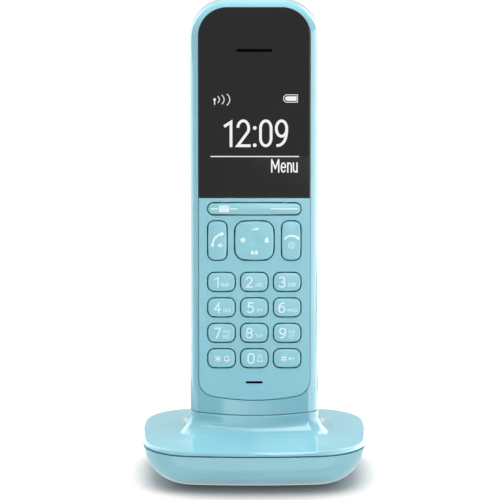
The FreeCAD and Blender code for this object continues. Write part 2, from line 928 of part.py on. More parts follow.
def make_window_and_plate():
    """Display window above the split and keypad plate below it."""
    window = handset_body("display_window")
    sketch = new_sketch(window, "front", front_face, 0, S.chin + S.plate_gap)
    front_opening(sketch, S.plate_gap)
    slab(window, sketch, S.plate_thickness)
    sketch = new_sketch(window, "front", front_face - spare, 0, split / 2 + S.split_gap / 4)
    rectangle(sketch, S.body_width, split + S.split_gap / 2)
    cut(window, sketch, S.plate_thickness + 2 * spare)
    round_edges(window, "y", front_face, S.plate_edge)
    slot_radius = S.ear_slot_height / 2 * 0.9
    rounded_cut(window, front_face - spare, seat + spare, S.ear_slot_width, S.ear_slot_height,
                slot_radius, 0, ear_level)

    plate = handset_body("keypad_plate")
    sketch = new_sketch(plate, "front", front_face, 0, S.chin + S.plate_gap)
    front_opening(sketch, S.plate_gap)
    slab(plate, sketch, S.plate_thickness)
    above = (S.body_length + split - S.split_gap / 2) / 2
    sketch = new_sketch(plate, "front", front_face - spare, 0, above)
    rectangle(sketch, S.body_width, S.body_length - split + S.split_gap / 2)
    cut(plate, sketch, S.plate_thickness + 2 * spare)
    round_edges(plate, "y", front_face, S.plate_edge)
    gap = 2 * S.key_gap
    for x, z, width, height, radius in [*KEYS.values(), NAV, SOFT]:
        rounded_cut(plate, front_face - spare, seat + spare, width + gap, height + gap,
                    radius + S.key_gap, x, z)
    slot_radius = S.mouth_slot_height / 2 * 0.9
    rounded_cut(plate, front_face - spare, seat + spare, S.mouth_slot_width, S.mouth_slot_height,
                slot_radius, 0, mouth_level)


def make_keys():
    """Push keys with a flange behind the plate, the soft-key bar and the navigation key."""
    edge = 2 * flange_edge
    for name, (x, z, width, height, radius) in KEYS.items():
        key = handset_body(name)
        top = front_face - S.key_proud
        rounded_slab(key, top, flange_front + spare, width, height, radius, x, z)
        round_edges(key, "y", top, S.key_round)
        rounded_slab(key, flange_front, flange_back, width + edge, height + edge,
                     radius + flange_edge, x, z)

    x, z, width, height, radius = SOFT
    bar = handset_body("softkey_rocker")
    top = front_face - S.softkey_proud
    rounded_slab(bar, top, flange_back, width, height, radius, x, z)
    round_edges(bar, "y", top, S.key_round)
    sketch = new_sketch(bar, "front", flange_front + S.flange_thickness / 4, x, z)
    rectangle(sketch, S.softkey_pivot, height + edge)
    slab(bar, sketch, S.flange_thickness * 0.75)

    x, z, width, height, radius = NAV
    nav = handset_body("nav_key")
    top = front_face - S.key_proud
    nav_flange_front = seat + S.nav_drop
    nav_flange_back = nav_flange_front + S.nav_flange
    rounded_slab(nav, top, nav_flange_back, width, height, radius, x, z)
    round_edges(nav, "y", top, S.key_round)
    rounded_slab(nav, nav_flange_front, nav_flange_back, width + edge, height + edge,
                 radius + flange_edge, x, z)
    round_cut(nav, "front", nav_flange_back - S.nav_well, nav_flange_back + spare, [(x, z)],
              2 * S.nav_well_radius)
    dish = nav.newObject("PartDesign::SubtractiveSphere", "Dish")
    bind(dish, "Radius", S.nav_dish_radius)
    bind(dish, "Placement.Base.y", top - S.nav_dish_radius + S.nav_dish_depth)
    bind(dish, "Placement.Base.z", z)

    pivot = handset_body("nav_pivot")
    disc_back = sheet_front - S.pivot_air
    disc_front = disc_back - S.pivot_disc
    round_slab(pivot, "front", disc_front, disc_back, [(x, z)], 2 * S.pivot_disc_radius)
    post_front = nav_flange_back - S.nav_well + S.pivot_disc
    round_slab(pivot, "front", post_front, disc_front, [(x, z)], 2 * S.pivot_post)


def make_key_switches():
    """Key mat, dome film and main board behind the keys."""
    mat = handset_body("keymat")
    height = mat_top - mat_bottom
    middle = (mat_top + mat_bottom) / 2
    corner = S.key_corner
    rim = 2 * S.keymat_rim
    rounded_slab(mat, ledge_back, mat_back, mat_width, height, corner, 0, middle)
    rounded_cut(mat, ledge_back - spare, sheet_front, mat_width - rim, height - rim,
                corner - S.keymat_rim, 0, middle)
    round_slab(mat, "front", pip_front, sheet_front + spare, PIPS, S.pip_diameter)
    round_cut(mat, "front", mat_back - S.dome_recess_depth, mat_back + spare, DOMES, S.dome_recess)

    film = handset_body("dome_sheet")
    rounded_slab(film, mat_back, board_front, mat_width - rim, height - rim, corner, 0, middle)
    round_slab(film, "front", mat_back - S.dome_height, mat_back + S.film_thickness / 2, DOMES,
               S.dome_diameter)

    board = handset_body("main_board")
    width = S.body_width - 2 * (S.shell_wall + S.board_side)
    rounded_slab(board, board_front, board_back, width, board_top - board_bottom, S.board_corner,
                 0, (board_top + board_bottom) / 2)
    round_cut(board, "front", board_front - spare, board_back + spare, POSTS, S.post_hole)

    shield = handset_body("radio_shield")
    rounded_slab(shield, board_back, board_back + S.shield_thickness, S.shield_width,
                 S.shield_height, S.key_corner, 0, split + S.shield_rise)

    antenna = handset_body("antenna")
    level = board_top - S.antenna_drop
    strip = board_back + S.antenna_stand
    rounded_slab(antenna, strip, strip + S.antenna_sheet, S.antenna_width, S.antenna_height,
                 S.antenna_height / 4, 0, level)
    leg_x = S.antenna_width / 2 - S.antenna_height
    sketch = new_sketch(antenna, "front", board_back, -leg_x, level)
    rectangle(sketch, S.antenna_height / 2, S.antenna_height / 2)
    slab(antenna, sketch, S.antenna_stand + S.antenna_sheet / 2)


def make_display_and_sound():
    """Display with its gasket, earpiece, microphone and ringer."""
    width = opening_width - 2 * S.ledge_width - 2 * S.display_side
    low = split + S.display_clear
    high = ear_level - S.earpiece_diameter / 2 - S.display_clear
    middle = (low + high) / 2
    border = 2 * S.gasket_border
    gasket = handset_body("display_gasket")
    corner = S.display_corner
    rounded_slab(gasket, seat, seat + S.gasket_thickness, width, high - low, corner, 0, middle)
    rounded_cut(gasket, seat - spare, seat + S.gasket_thickness + spare, width - border,
                high - low - border, S.gasket_corner, 0, middle)
    display = handset_body("display_module")
    rounded_slab(display, seat + S.gasket_thickness, board_front, width, high - low, corner, 0, middle)

    ear = [(0, ear_level)]
    capsule = handset_body("earpiece_capsule")
    round_slab(capsule, "front", seat + S.ear_gasket, board_front, ear, S.earpiece_diameter)
    ring = handset_body("earpiece_gasket")
    round_slab(ring, "front", seat, seat + S.ear_gasket, ear, S.earpiece_diameter)
    hole = S.earpiece_diameter - 2 * S.ear_gasket_border
    round_cut(ring, "front", seat - spare, seat + S.ear_gasket + spare, ear, hole)

    mouth = [(0, mouth_level)]
    microphone = handset_body("microphone")
    microphone_front = board_front - S.microphone_height
    round_slab(microphone, "front", microphone_front, board_front, mouth, S.microphone_diameter)
    boot = handset_body("microphone_boot")
    inside = S.microphone_diameter + 2 * S.boot_play
    round_slab(boot, "front", seat, board_front, mouth, inside + 2 * S.boot_wall)
    round_cut(boot, "front", microphone_front - S.boot_play, board_front + spare, mouth, inside)
    round_cut(boot, "front", seat - spare, board_front, mouth, S.boot_hole)

    ringer = handset_body("ringer_speaker")
    place = [(0, ringer_level)]
    front = rear_inner - S.ringer_thickness
    round_slab(ringer, "front", front, rear_inner, place, S.ringer_diameter)
    round_edges(ringer, "y", front, S.key_round)


def make_rear_shell():
    """Back half of the handset with battery compartment and the foot for the cradle."""
    body = handset_body("rear_shell")
    sketch = new_sketch(body, "front", 0)
    arch(sketch, S.body_width, S.body_length, S.top_corner)
    slab(body, sketch, rear_depth)
    round_edges(body, "y", rear_depth, S.back_round, above_rim)
    bevel_edges(body, "y", 0, S.seam_chamfer, above_rim)
    sketch = new_sketch(body, "front", -spare)
    swept_sole(sketch, S.body_width + spare, S.foot_height, above=False)
    cut(body, sketch, rear_depth + 2 * spare)
    sketch = new_sketch(body, "front", -spare, 0, inner_bottom)
    arch(sketch, inner_width, inner_top - inner_bottom, inner_corner)
    cut(body, sketch, rear_inner + spare)
    round_edges(body, "y", rear_inner, S.back_round - S.shell_wall, above_rim)

    inner = rear_inner + S.shell_wall / 10
    reach = 2 * S.cover_ledge_reach
    rounded_slab(body, cover_floor - S.cover_ledge, inner, cover_width + reach,
                 cover_length + reach, S.cover_corner, 0, cover_middle)
    tub = 2 * S.tub_wall
    rounded_slab(body, as_size(0), inner, tub_width + tub, tub_length + tub, S.tub_wall, 0, tub_middle)
    round_slab(body, "front", as_size(0), inner, POSTS, S.boss_diameter)
    ring = S.ringer_diameter + 2 * S.ringer_play
    place = [(0, ringer_level)]
    sketch = new_sketch(body, "front", rear_inner - S.ringer_ring_height)
    circles(sketch, place, ring + 2 * S.ringer_ring)
    circles(sketch, place, ring)
    slab(body, sketch, inner - rear_inner + S.ringer_ring_height)
    props = mirrored(cell_x, tub_bottom + S.prop_inset) + mirrored(cell_x, tub_top - S.prop_inset)
    round_slab(body, "front", board_back, S.tub_floor / 2, props, S.prop_diameter)

    sketch = new_sketch(body, "front", S.tub_floor, 0, tub_middle)
    rectangle(sketch, tub_width, tub_length)
    cut(body, sketch, rear_depth)
    rounded_cut(body, cover_floor, rear_depth + spare, cover_width, cover_length, S.cover_corner,
                0, cover_middle)
    clear = S.small_screw + 4 * S.small_screw_play
    round_cut(body, "front", -spare, rear_depth, POSTS, clear)
    head = S.small_head + 2 * S.small_head_play
    round_cut(body, "front", cover_floor - S.cover_ledge, rear_depth, POSTS, head)
    for step in range(-2, 3):
        level = ringer_level + step * S.ringer_slot_pitch
        rounded_cut(body, rear_inner - spare, rear_depth + spare, S.ringer_slot_width,
                    S.ringer_slot_height, S.ringer_slot_height / 2 * 0.9, 0, level)

    sketch = new_sketch(body, "flat", foot_bottom, 0, section_middle)
    handset_section(sketch, foot_inset)
    slab(body, sketch, S.foot_height + sole_rise + spare)
    round_edges(body, "z", foot_bottom, S.foot_round)
    sketch = new_sketch(body, "front", front_face)
    swept_sole(sketch, S.body_width, S.foot_height, above=True)
    cut(body, sketch, S.front_depth)
    sketch = new_sketch(body, "flat", foot_bottom + S.foot_wall, 0, section_middle)
    handset_section(sketch, foot_inset + S.foot_wall)
    cut(body, sketch, S.foot_height - S.foot_wall + inner_bottom + spare)
    for side in (-1, 1):
        sketch = new_sketch(body, "flat", foot_bottom - spare, side * S.pad_across, section_middle)
        rectangle(sketch, S.pad_width + 2 * S.pad_play, S.pad_length + 2 * S.pad_play)
        cut(body, sketch, S.pad_thickness + spare)

    pads = handset_body("charge_pads", True)
    for side in (-1, 1):
        sketch = new_sketch(pads, "flat", foot_bottom, side * S.pad_across, section_middle)
        rectangle(sketch, S.pad_width, S.pad_length)
        slab(pads, sketch, S.pad_thickness)


def make_battery():
    """Two cells in series, their contacts and the cover with its thumb recess."""
    cells = handset_body("battery_cells", True)
    low = tub_bottom + S.contact_sheet + S.contact_bump + S.cell_play
    nub = S.cell_nub_length
    for side in (-1, 1):
        place = [(side * cell_x, cell_y)]
        start = low if side < 0 else low + nub
        can_end = start + S.cell_length - nub
        round_slab(cells, "flat", start, can_end, place, S.cell_diameter)
        nub_start = can_end if side < 0 else low
        round_slab(cells, "flat", nub_start, nub_start + nub, place, S.cell_nub)

    contacts = handset_body("battery_contacts", True)
    sketch = new_sketch(contacts, "flat", tub_bottom, 0, cell_y)
    rectangle(sketch, 2 * cell_x + S.contact_side, S.contact_side)
    slab(contacts, sketch, S.contact_sheet)
    bumps = mirrored(cell_x, cell_y)
    start = tub_bottom + S.contact_sheet
    round_slab(contacts, "flat", start, start + S.contact_bump, bumps, S.contact_bump_diameter)
    for side in (-1, 1):
        start = tub_top - S.contact_sheet
        sketch = new_sketch(contacts, "flat", start, side * cell_x, cell_y)
        rectangle(sketch, S.contact_side, S.contact_side)
        slab(contacts, sketch, S.contact_sheet)
        round_slab(contacts, "flat", start - S.contact_bump, start, [(side * cell_x, cell_y)],
                   S.contact_bump_diameter)

    cover = handset_body("battery_cover")
    gap = 2 * S.cover_gap
    rounded_slab(cover, cover_floor, rear_depth, cover_width - gap, cover_length - gap,
                 S.cover_corner - S.cover_gap, 0, cover_middle)
    round_edges(cover, "y", rear_depth, S.cover_edge)
    rounded_cut(cover, rear_depth - S.thumb_depth, rear_depth + spare, S.thumb_width,
                S.thumb_height, S.thumb_height / 2 * 0.9, 0, cover_bottom + 2 * S.thumb_height)

    screws = handset_body("handset_screws", True)
    under_head = cover_floor - S.cover_ledge
    round_slab(screws, "front", under_head, under_head + S.small_head_height, POSTS, S.small_head)
    round_slab(screws, "front", -S.small_screw_grip, under_head, POSTS, S.small_screw)


RUBBER = [(x, y) for y in (rubber_y, -rubber_y) for x in (rubber_x, -rubber_x)]
STAKES = [(0, S.stake_front), (0, S.stake_back)]


def near_collar(box):
    """True for an edge round the foot of the collar."""
    half = S.body_width.value / 2 + 2
    return box.XMin > -half and box.XMax < half


def make_cradle_top():
    """Cradle plate with the flared collar and the well that takes the handset's foot."""
    body = cradle_body("cradle_top_cover")
    sketch = new_sketch(body, "flat", plate_bottom)
    base_plan(sketch, 0)
    slab(body, sketch, S.top_thickness)
    round_edges(body, "z", plate_top, S.top_round)
    round_edges(body, "z", plate_bottom, S.under_round)
    depth = S.foot_height + S.seat_gap
    sketch = leaning_sketch(body, section_middle, -depth - S.well_floor)
    handset_section(sketch, 0)
    slab(body, sketch, depth + S.well_floor + sole_rise + spare)
    round_edges(body, "z", plate_top, S.collar_flare, near_collar)
    sketch = leaning_sketch(body, front_face - spare, -S.rim_gap, plane="front")
    swept_sole(sketch, S.body_width + spare, S.foot_height, above=True)
    cut(body, sketch, section_depth + 2 * spare)

    lip = S.base_wall + S.lip_inset
    sketch = new_sketch(body, "flat", plate_bottom - S.lip_height)
    base_plan(sketch, lip)
    base_plan(sketch, lip + S.lip_wall)
    slab(body, sketch, S.lip_height + spare)
    round_slab(body, "flat", stud_top, plate_bottom + spare, RUBBER, S.pillar_diameter)
    round_slab(body, "flat", cradle_board_top, plate_bottom + spare, STAKES, S.stake_post)
    tail = cradle_board_bottom - S.cradle_board_air / 2
    round_slab(body, "flat", tail, cradle_board_top + spare, STAKES, S.stake_pin)
    pilot = S.base_screw + S.base_screw_play
    round_cut(body, "flat", stud_top - spare, stud_top + S.base_screw_grip + spare, RUBBER, pilot)

    sketch = leaning_sketch(body, section_middle, -depth)
    handset_section(sketch, S.rim_land)
    cut(body, sketch, depth + sole_rise + spare)
    for side in (-1, 1):
        sketch = leaning_sketch(body, section_middle + S.slot_shift, -depth - S.collar_height,
                                side * S.pad_across)
        rounded_rectangle(sketch, S.slot_width, S.slot_length, S.slot_corner)
        cut(body, sketch, S.collar_height + spare)


def bowl(body, inset, depth, radius):
    """Solid bowl that hangs from the parting plane: tapered sides and a rounded underside."""
    sketch = new_sketch(body, "flat", parting)
    base_plan(sketch, inset)
    pad = body.newObject("PartDesign::Pad", "Bowl")
    pad.Profile = sketch
    pad.Reversed = True
    bind(pad, "Length", depth)
    bind(pad, "TaperAngle", -S.base_taper)
    round_edges(body, "z", parting - depth, radius)


def make_cradle_bowl():
    """Lower shell of the cradle: a bowl with rounded underside, screw studs and a socket hole."""
    core = document.addObject("PartDesign::Body", "bowl_core")
    bowl(core, S.base_wall, S.bowl_height - S.base_wall, S.base_round - S.base_wall)
    body = cradle_body("cradle_lower_shell")
    bowl(body, as_size(0), S.bowl_height, S.base_round)
    hollow = body.newObject("PartDesign::Boolean", "Hollow")
    hollow.setObjects([core])
    hollow.Type = "Cut"
    round_slab(body, "flat", inner_floor - spare, stud_top, RUBBER, S.stud_diameter)
    recess = S.foot_stand + S.rubber_recess
    rubber_hole = S.rubber_diameter + 2 * S.rubber_play
    round_cut(body, "flat", as_size(0), recess, RUBBER, rubber_hole)
    head_hole = S.base_head + 2 * S.base_head_play
    round_cut(body, "flat", as_size(0), head_seat, RUBBER, head_hole)
    round_cut(body, "flat", as_size(0), stud_top + spare, RUBBER, S.base_screw + S.base_screw_clear)
    play = 2 * S.socket_play
    rounded_cut(body, socket_face - S.socket_setback / 2, S.base_depth / 2 + spare,
                S.socket_width + play, S.socket_height + play, S.socket_play, 0, socket_middle)


def make_cradle_fittings():
    """Rubber feet, screws, ballast, board, power socket and its pins."""
    feet = cradle_body("rubber_feet", True)
    round_slab(feet, "flat", as_size(0), S.foot_stand + S.rubber_recess, RUBBER, S.rubber_diameter)

    screws = cradle_body("cradle_screws", True)
    round_slab(screws, "flat", head_seat - S.base_head_height, head_seat, RUBBER, S.base_head)
    round_slab(screws, "flat", head_seat, stud_top + S.base_screw_grip, RUBBER, S.base_screw)

    ballast = cradle_body("ballast_plate")
    width = 2 * (rubber_x - S.stud_diameter / 2 - S.ballast_clear)
    sketch = new_sketch(ballast, "flat", inner_floor)
    rounded_rectangle(sketch, width, S.ballast_length, S.ballast_thickness)
    slab(ballast, sketch, S.ballast_thickness)

    board = cradle_body("cradle_board")
    back = socket_face - S.cradle_board_back
    length = back + S.cradle_board_front
    sketch = new_sketch(board, "flat", cradle_board_bottom, 0, back - length / 2)
    width = 2 * (rubber_x - S.stud_diameter / 2 - S.cradle_board_clear)
    rounded_rectangle(sketch, width, length, S.cradle_board)
    slab(board, sketch, S.cradle_board)
    round_cut(board, "flat", cradle_board_bottom - spare, cradle_board_top + spare, STAKES,
              S.stake_pin + 2 * S.stake_play)

    socket = cradle_body("power_socket")
    sketch = new_sketch(socket, "front", socket_face - S.socket_length, 0, socket_middle)
    rectangle(sketch, S.socket_width, S.socket_height)
    slab(socket, sketch, S.socket_length)
    rounded_cut(socket, socket_face - S.socket_hole_depth, socket_face + spare, S.socket_hole_width,
                S.socket_hole_height, S.socket_hole_height / 4, 0, socket_middle)

    pins = cradle_body("socket_pins", True)
    start = socket_face - S.socket_hole_depth
    round_slab(pins, "front", start, start + S.pin_length, mirrored(S.pin_pitch / 2, socket_middle),
               S.pin_diameter)


def bent_strip(points, bend, width, thickness):
    """Sheet strip along a line of points in the y-z plane, bent with one radius.

    At each inner point the strip follows an arc tangent to both neighbouring straights.
    """
    edges = []
    start = points[0]
    for before, corner, after in zip(points, points[1:], points[2:]):
        back = (before - corner).normalize()
        ahead = (after - corner).normalize()
        half = back.getAngle(ahead) / 2
        run = bend / math.tan(half)
        middle = corner + (back + ahead).normalize() * (bend / math.sin(half))
        enter = corner + back * run
        leave = corner + ahead * run
        top = middle + (corner - middle).normalize() * bend
        edges.append(Part.LineSegment(start, enter).toShape())
        edges.append(Part.Arc(enter, top, leave).toShape())
        start = leave
    edges.append(Part.LineSegment(start, points[-1]).toShape())
    path = Part.Wire(edges)
    along = (points[1] - points[0]).normalize()
    across = Vector(1, 0, 0) * (width / 2)
    up = along.cross(Vector(1, 0, 0)) * (thickness / 2)
    centre = points[0]
    outline = [centre - across - up, centre + across - up, centre + across + up, centre - across + up]
    profile = Part.makePolygon(outline + outline[:1])
    return path.makePipeShell([profile], True, False)


def make_contact_springs():
    """Two leaf springs on the cradle board whose crowns meet the pads of the handset."""
    crown_y, crown_z = docked(section_middle, foot_bottom)
    half = S.leaf_sheet.value / 2
    low = cradle_board_top.value + half
    root = S.leaf_root.value
    rise = crown_z.value - S.leaf_gap.value - half - low
    run = root - crown_y.value
    bend = S.leaf_bend.value
    # The straights meet a little above the crown, which is rounded by the bend.
    slope = math.atan2(rise, run)
    lift = bend / math.cos(slope) - bend
    nose = S.leaf_nose.value
    points = [
        Vector(0, root + S.leaf_tail.value, low),
        Vector(0, root, low),
        Vector(0, crown_y.value, low + rise + lift),
        Vector(0, crown_y.value - nose, low + rise + lift - nose * math.tan(slope)),
    ]
    strip = bent_strip(points, bend, S.leaf_width.value, S.leaf_sheet.value)
    for side, label in ((-1, "contact_spring_left"), (1, "contact_spring_right")):
        spring = document.addObject("Part::Feature", label)
        spring.Label = label
        spring.Shape = strip
        spring.setExpression("Placement.Base.x", (side * S.pad_across).text)
        parts[label] = spring


make_front_frame()
make_window_and_plate()
make_keys()
make_key_switches()
make_display_and_sound()
make_rear_shell()
make_battery()
make_cradle_top()
make_cradle_bowl()
make_cradle_fittings()
make_contact_springs()
document.recompute()

for item in document.Objects:
    if "Invalid" in item.State or "Error" in item.State:
        raise RuntimeError(f"{item.Label} could not be computed")
for label, item in parts.items():
    if item.Shape.isNull() or not item.Shape.isValid():
        raise RuntimeError(f"{label} has no valid shape")

os.makedirs("parts", exist_ok=True)
for label, item in parts.items():
    item.Shape.exportStep(f"parts/{label}.step")
print(f"{len(parts)} parts written")
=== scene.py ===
import math

import bmesh
import bpy
import numpy as np
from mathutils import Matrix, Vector


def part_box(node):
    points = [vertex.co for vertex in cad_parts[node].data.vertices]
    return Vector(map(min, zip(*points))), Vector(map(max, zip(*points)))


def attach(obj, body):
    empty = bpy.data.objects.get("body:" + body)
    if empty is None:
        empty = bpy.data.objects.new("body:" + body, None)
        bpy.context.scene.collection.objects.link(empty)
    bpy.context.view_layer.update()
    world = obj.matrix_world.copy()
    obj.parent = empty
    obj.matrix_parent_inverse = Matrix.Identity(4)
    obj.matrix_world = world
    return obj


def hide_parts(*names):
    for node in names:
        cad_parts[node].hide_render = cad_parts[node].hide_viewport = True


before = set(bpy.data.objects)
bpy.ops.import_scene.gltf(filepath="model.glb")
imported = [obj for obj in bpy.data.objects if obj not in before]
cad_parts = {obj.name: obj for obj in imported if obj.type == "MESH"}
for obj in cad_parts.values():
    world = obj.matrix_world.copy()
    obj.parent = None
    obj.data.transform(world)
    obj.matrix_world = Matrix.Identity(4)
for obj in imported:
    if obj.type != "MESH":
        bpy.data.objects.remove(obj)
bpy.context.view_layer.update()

MM = 0.001

bl_info = {
    "name": "Cordless handset",
    "version": (1, 0, 0),
    "blender": (4, 5, 0),
    "location": "3D View > Sidebar > Handset",
    "description": "Finishes, key caps, printing and studio for a cordless handset in its cradle",
    "category": "Object",
}


def length(name, description, millimetres):
    """A length property, written in millimetres and kept in metres."""
    return bpy.props.FloatProperty(
        name=name, description=description, default=millimetres * MM,
        subtype="DISTANCE", unit="LENGTH", precision=5)


def angle(name, description, degrees):
    """An angle property, written in degrees and kept in radians."""
    return bpy.props.FloatProperty(
        name=name, description=description, default=math.radians(degrees), subtype="ANGLE")


def tint(name, description, colour):
    """A colour property in linear light."""
    return bpy.props.FloatVectorProperty(
        name=name, description=description, default=colour, subtype="COLOR", min=0, max=1)


def share(name, description, value):
    """A property between nought and one."""
    return bpy.props.FloatProperty(
        name=name, description=description, default=value, min=0, max=1, subtype="FACTOR")


class HandsetPlace(bpy.types.PropertyGroup):
    """Where the handset stands in its cradle."""

    lean: angle("Lean", "Angle by which the handset leans back", 4)
    rim: length("Rim height", "Height of the collar's rim, where the handset's own frame starts", 23.9)
    forward: length("Forward", "How far that frame stands in front of the cradle's middle", 2.5)


class Finishes(bpy.types.PropertyGroup):
    """Colours and gloss of the materials."""

    shell: tint("Shell", "Glossy light blue of the shells", (0.25, 0.548, 0.638))
    plate: tint("Plate", "Satin light blue of the keypad plate", (0.262, 0.577, 0.670))
    key: tint("Key", "Satin light blue of the key caps", (0.277, 0.604, 0.686))
    # Painted shade: the dark teal of the skirt stands in for the shade in the gap round each key cap
    skirt_shade: tint("Key skirt", "Dark teal of the key mat's skirt round each cap", (0.016, 0.18, 0.26))
    window: tint("Window", "Black behind the display window", (0.008, 0.0078, 0.0078))
    paint: tint("Paint", "White of the printing", (0.78, 0.92, 0.95))
    shell_roughness: share("Shell roughness", "Roughness of the glossy shells", 0.06)
    plate_roughness: share("Plate roughness", "Roughness of the keypad plate", 0.38)


class CoverSizes(bpy.types.PropertyGroup):
    """Shape of the cradle's cover with its collar."""

    side: length("Side bow", "Radius of the bowed sides of the plan", 220)
    corner: length("Corner", "Corner radius of the plan", 19.6)
    gap: length("Parting gap", "Gap between bowl and cover", 0.4)
    thickness: length("Thickness", "Thickness of the cover at its edge", 1.7)
    edge: length("Edge round", "Rounding of the upper edge", 1.2)
    under: length("Under round", "Rounding of the lower edge", 0.3)
    dome: length("Dome", "Rise of the cover towards the collar", 1.6)
    front_round: length("Front round", "Front corner radius of the collar", 4)
    back_round: length("Back round", "Back corner radius of the collar", 6)
    flare: length("Front flare", "Radius of the flare at the middle of the front", 2.8)
    side_flare: length("Side flare", "Radius of the flare at the sides and the back", 6.2)
    sweep: length("Rim sweep", "Radius of the arc that the rim follows", 165)
    rim_gap: length("Rim gap", "Gap between the rim and the handset", 0.3)
    rim_round: length("Rim round", "Rounding of the rim's outer edge", 0.25)
    land: length("Rim land", "Width of the rim", 1)
    depth: length("Well depth", "Depth of the well", 8.05)
    slot_wide: length("Slot width", "Width of a slot for a contact spring", 5)
    slot_long: length("Slot length", "Length of such a slot", 11)
    slot_across: length("Slot place", "Distance of a slot from the middle", 9)
    slot_shift: length("Slot shift", "How far a slot lies behind the well's middle", 1.5)


class CapSizes(bpy.types.PropertyGroup):
    """Shape of the key caps, in the handset's own frame."""

    rim: length("Rim level", "Level of the caps' rounded rim, negative towards the front", -9.46)
    bar_rim: length("Bar level", "The same for the soft-key bar", -9.36)
    crown: length("Crown", "Rise of a cap's middle above its rim", 0.26)
    edge: length("Edge round", "Radius of the rounded edge", 0.52)
    seam: length("Seam", "How far a cap stands in from its CAD key, which widens the gap round it", 0.06)
    flange_front: length("Flange front", "Front of the flange behind the plate", -7.35)
    flange_back: length("Flange back", "Back of the flange", -6.65)
    flange_reach: length("Flange reach", "How far the flange stands out", 0.65)
    number_corner: length("Number corner", "Corner radius of the number keys", 2.35)
    side_corner: length("Side corner", "Corner radius of the call key and the end key", 2.4)
    nav_corner: length("Navigation corner", "Corner radius of the navigation key", 3.9)
    bar_corner: length("Bar corner", "Corner radius of the soft-key bar", 2.1)
    nav_flange_front: length("Navigation flange front", "Front of the navigation key's flange", -6.75)
    nav_flange_back: length("Navigation flange back", "Back of the navigation key's flange", -6.25)
    dish: length("Dish", "Depth of the dish in the navigation key", 0.3)
    dish_spread: length("Dish spread", "Spread of that dish", 2.2)


class PrintSizes(bpy.types.PropertyGroup):
    """Sizes of the printing, of the display's picture and of the cloths."""

    film: length("Film", "How far the print stands proud of what it is on", 0.03)
    digit: length("Digit height", "Height of the digits", 4.0)
    digit_width: length("Digit width", "Width of the digits", 2.55)
    digit_line: length("Digit line", "Width of the lines of the digits", 0.46)
    letter: length("Letter height", "Height of the small letters", 1.36)
    line: length("Line", "Width of the thin lines of the icons", 0.26)
    clock: length("Clock height", "Height of the clock's figures", 10.1)
    clock_line: length("Clock line", "Width of the lines of the clock's figures", 1.0)
    ear_wide: length("Ear cloth width", "Width of the cloth in the earpiece slot", 12.95)
    ear_high: length("Ear cloth height", "Height of that cloth", 1.05)
    ear_drop: length("Ear cloth drop", "Distance of that cloth from the top of the window", 15.7)
    mouth_wide: length("Mouth cloth width", "Width of the cloth in the microphone slot", 6.15)
    mouth_high: length("Mouth cloth height", "Height of that cloth", 0.85)
    mouth_rise: length("Mouth cloth rise", "Distance of that cloth from the keypad plate's bottom", 6.7)
    cloth_depth: length("Cloth depth", "How far the cloth lies behind the face round its slot", 0.2)
    word_line: length("Word line", "Width of the lines of the menu word", 0.5)
    picture: length("Picture level", "Level of the display's picture, negative towards the front", -9.0)


class StageSizes(bpy.types.PropertyGroup):
    """Camera and floor of the studio."""

    distance: length("Camera distance", "Distance from the camera to what it aims at", 1400)
    elevation: angle("Camera elevation", "Height of the camera above the horizon", 11)
    lens: bpy.props.FloatProperty(name="Lens", description="Focal length in millimetres", default=274.3)
    aim_across: length("Aim across", "Sideways place of what the camera aims at", -1.58)
    aim_up: length("Aim up", "Height of what the camera aims at", 84.05)
    floor: length("Floor", "Half the width of the floor", 1500)
    near: length("Near", "Distance up to which the floor takes the shadow", 80)
    far: length("Far", "Distance from which the floor is plain white", 260)
    near_white: share("Near white", "Share of plain white in the floor near the object", 0.06)
    # Painted shadow on the floor: reach of the occlusion that darkens its colour
    contact: length("Contact shadow", "Reach of the deepened shadow under the object", 25)
    surroundings: share("Surroundings", "Strength of the light from all round", 0.5)


def settings(name):
    """One of this file's property groups on the scene."""
    return getattr(bpy.context.scene, "handset_" + name)


def to_frame(across, back, up):
    """Points of the handset's own frame in the row frame.

    A point is turned about x by the lean and moved to the rim of the collar.
    """
    place = settings("place")
    sine, cosine = math.sin(place.lean), math.cos(place.lean)
    across, back, up = np.broadcast_arrays(across, back, up)
    return np.stack([across, back * cosine + up * sine - place.forward,
                     place.rim - back * sine + up * cosine], axis=-1)


def span_of(node):
    """Lowest and highest across, back and up of a CAD node, in the handset's own frame."""
    place = settings("place")
    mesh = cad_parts[node].data
    points = np.empty(len(mesh.vertices) * 3)
    mesh.vertices.foreach_get("co", points)
    points = points.reshape(-1, 3)
    sine, cosine = math.sin(place.lean), math.cos(place.lean)
    behind, above = points[:, 1] + place.forward, points[:, 2] - place.rim
    own = np.stack([points[:, 0], behind * cosine - above * sine, behind * sine + above * cosine], axis=1)
    return own.min(axis=0), own.max(axis=0)


# Points closer than this are merged, in metres
MERGE_DISTANCE = 1e-7


def make_piece(name, points, faces, body, material, crease=None):
    """Mesh object from an array of points and a list of faces, riding on a body.

    With a crease, edges that bend by less than that many degrees are shaded smooth.
    """
    mesh = bpy.data.meshes.new(name)
    mesh.from_pydata(np.asarray(points).reshape(-1, 3), [], faces)
    work = bmesh.new()
    work.from_mesh(mesh)
    bmesh.ops.remove_doubles(work, verts=work.verts, dist=MERGE_DISTANCE)
    bmesh.ops.recalc_face_normals(work, faces=work.faces)
    work.to_mesh(mesh)
    work.free()
    if crease is not None:
        mesh.shade_smooth()
        mesh.set_sharp_from_angle(angle=math.radians(crease))
    mesh.materials.append(material)
    piece = bpy.data.objects.new(name, mesh)
    bpy.context.scene.collection.objects.link(piece)
    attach(piece, body)
    return piece


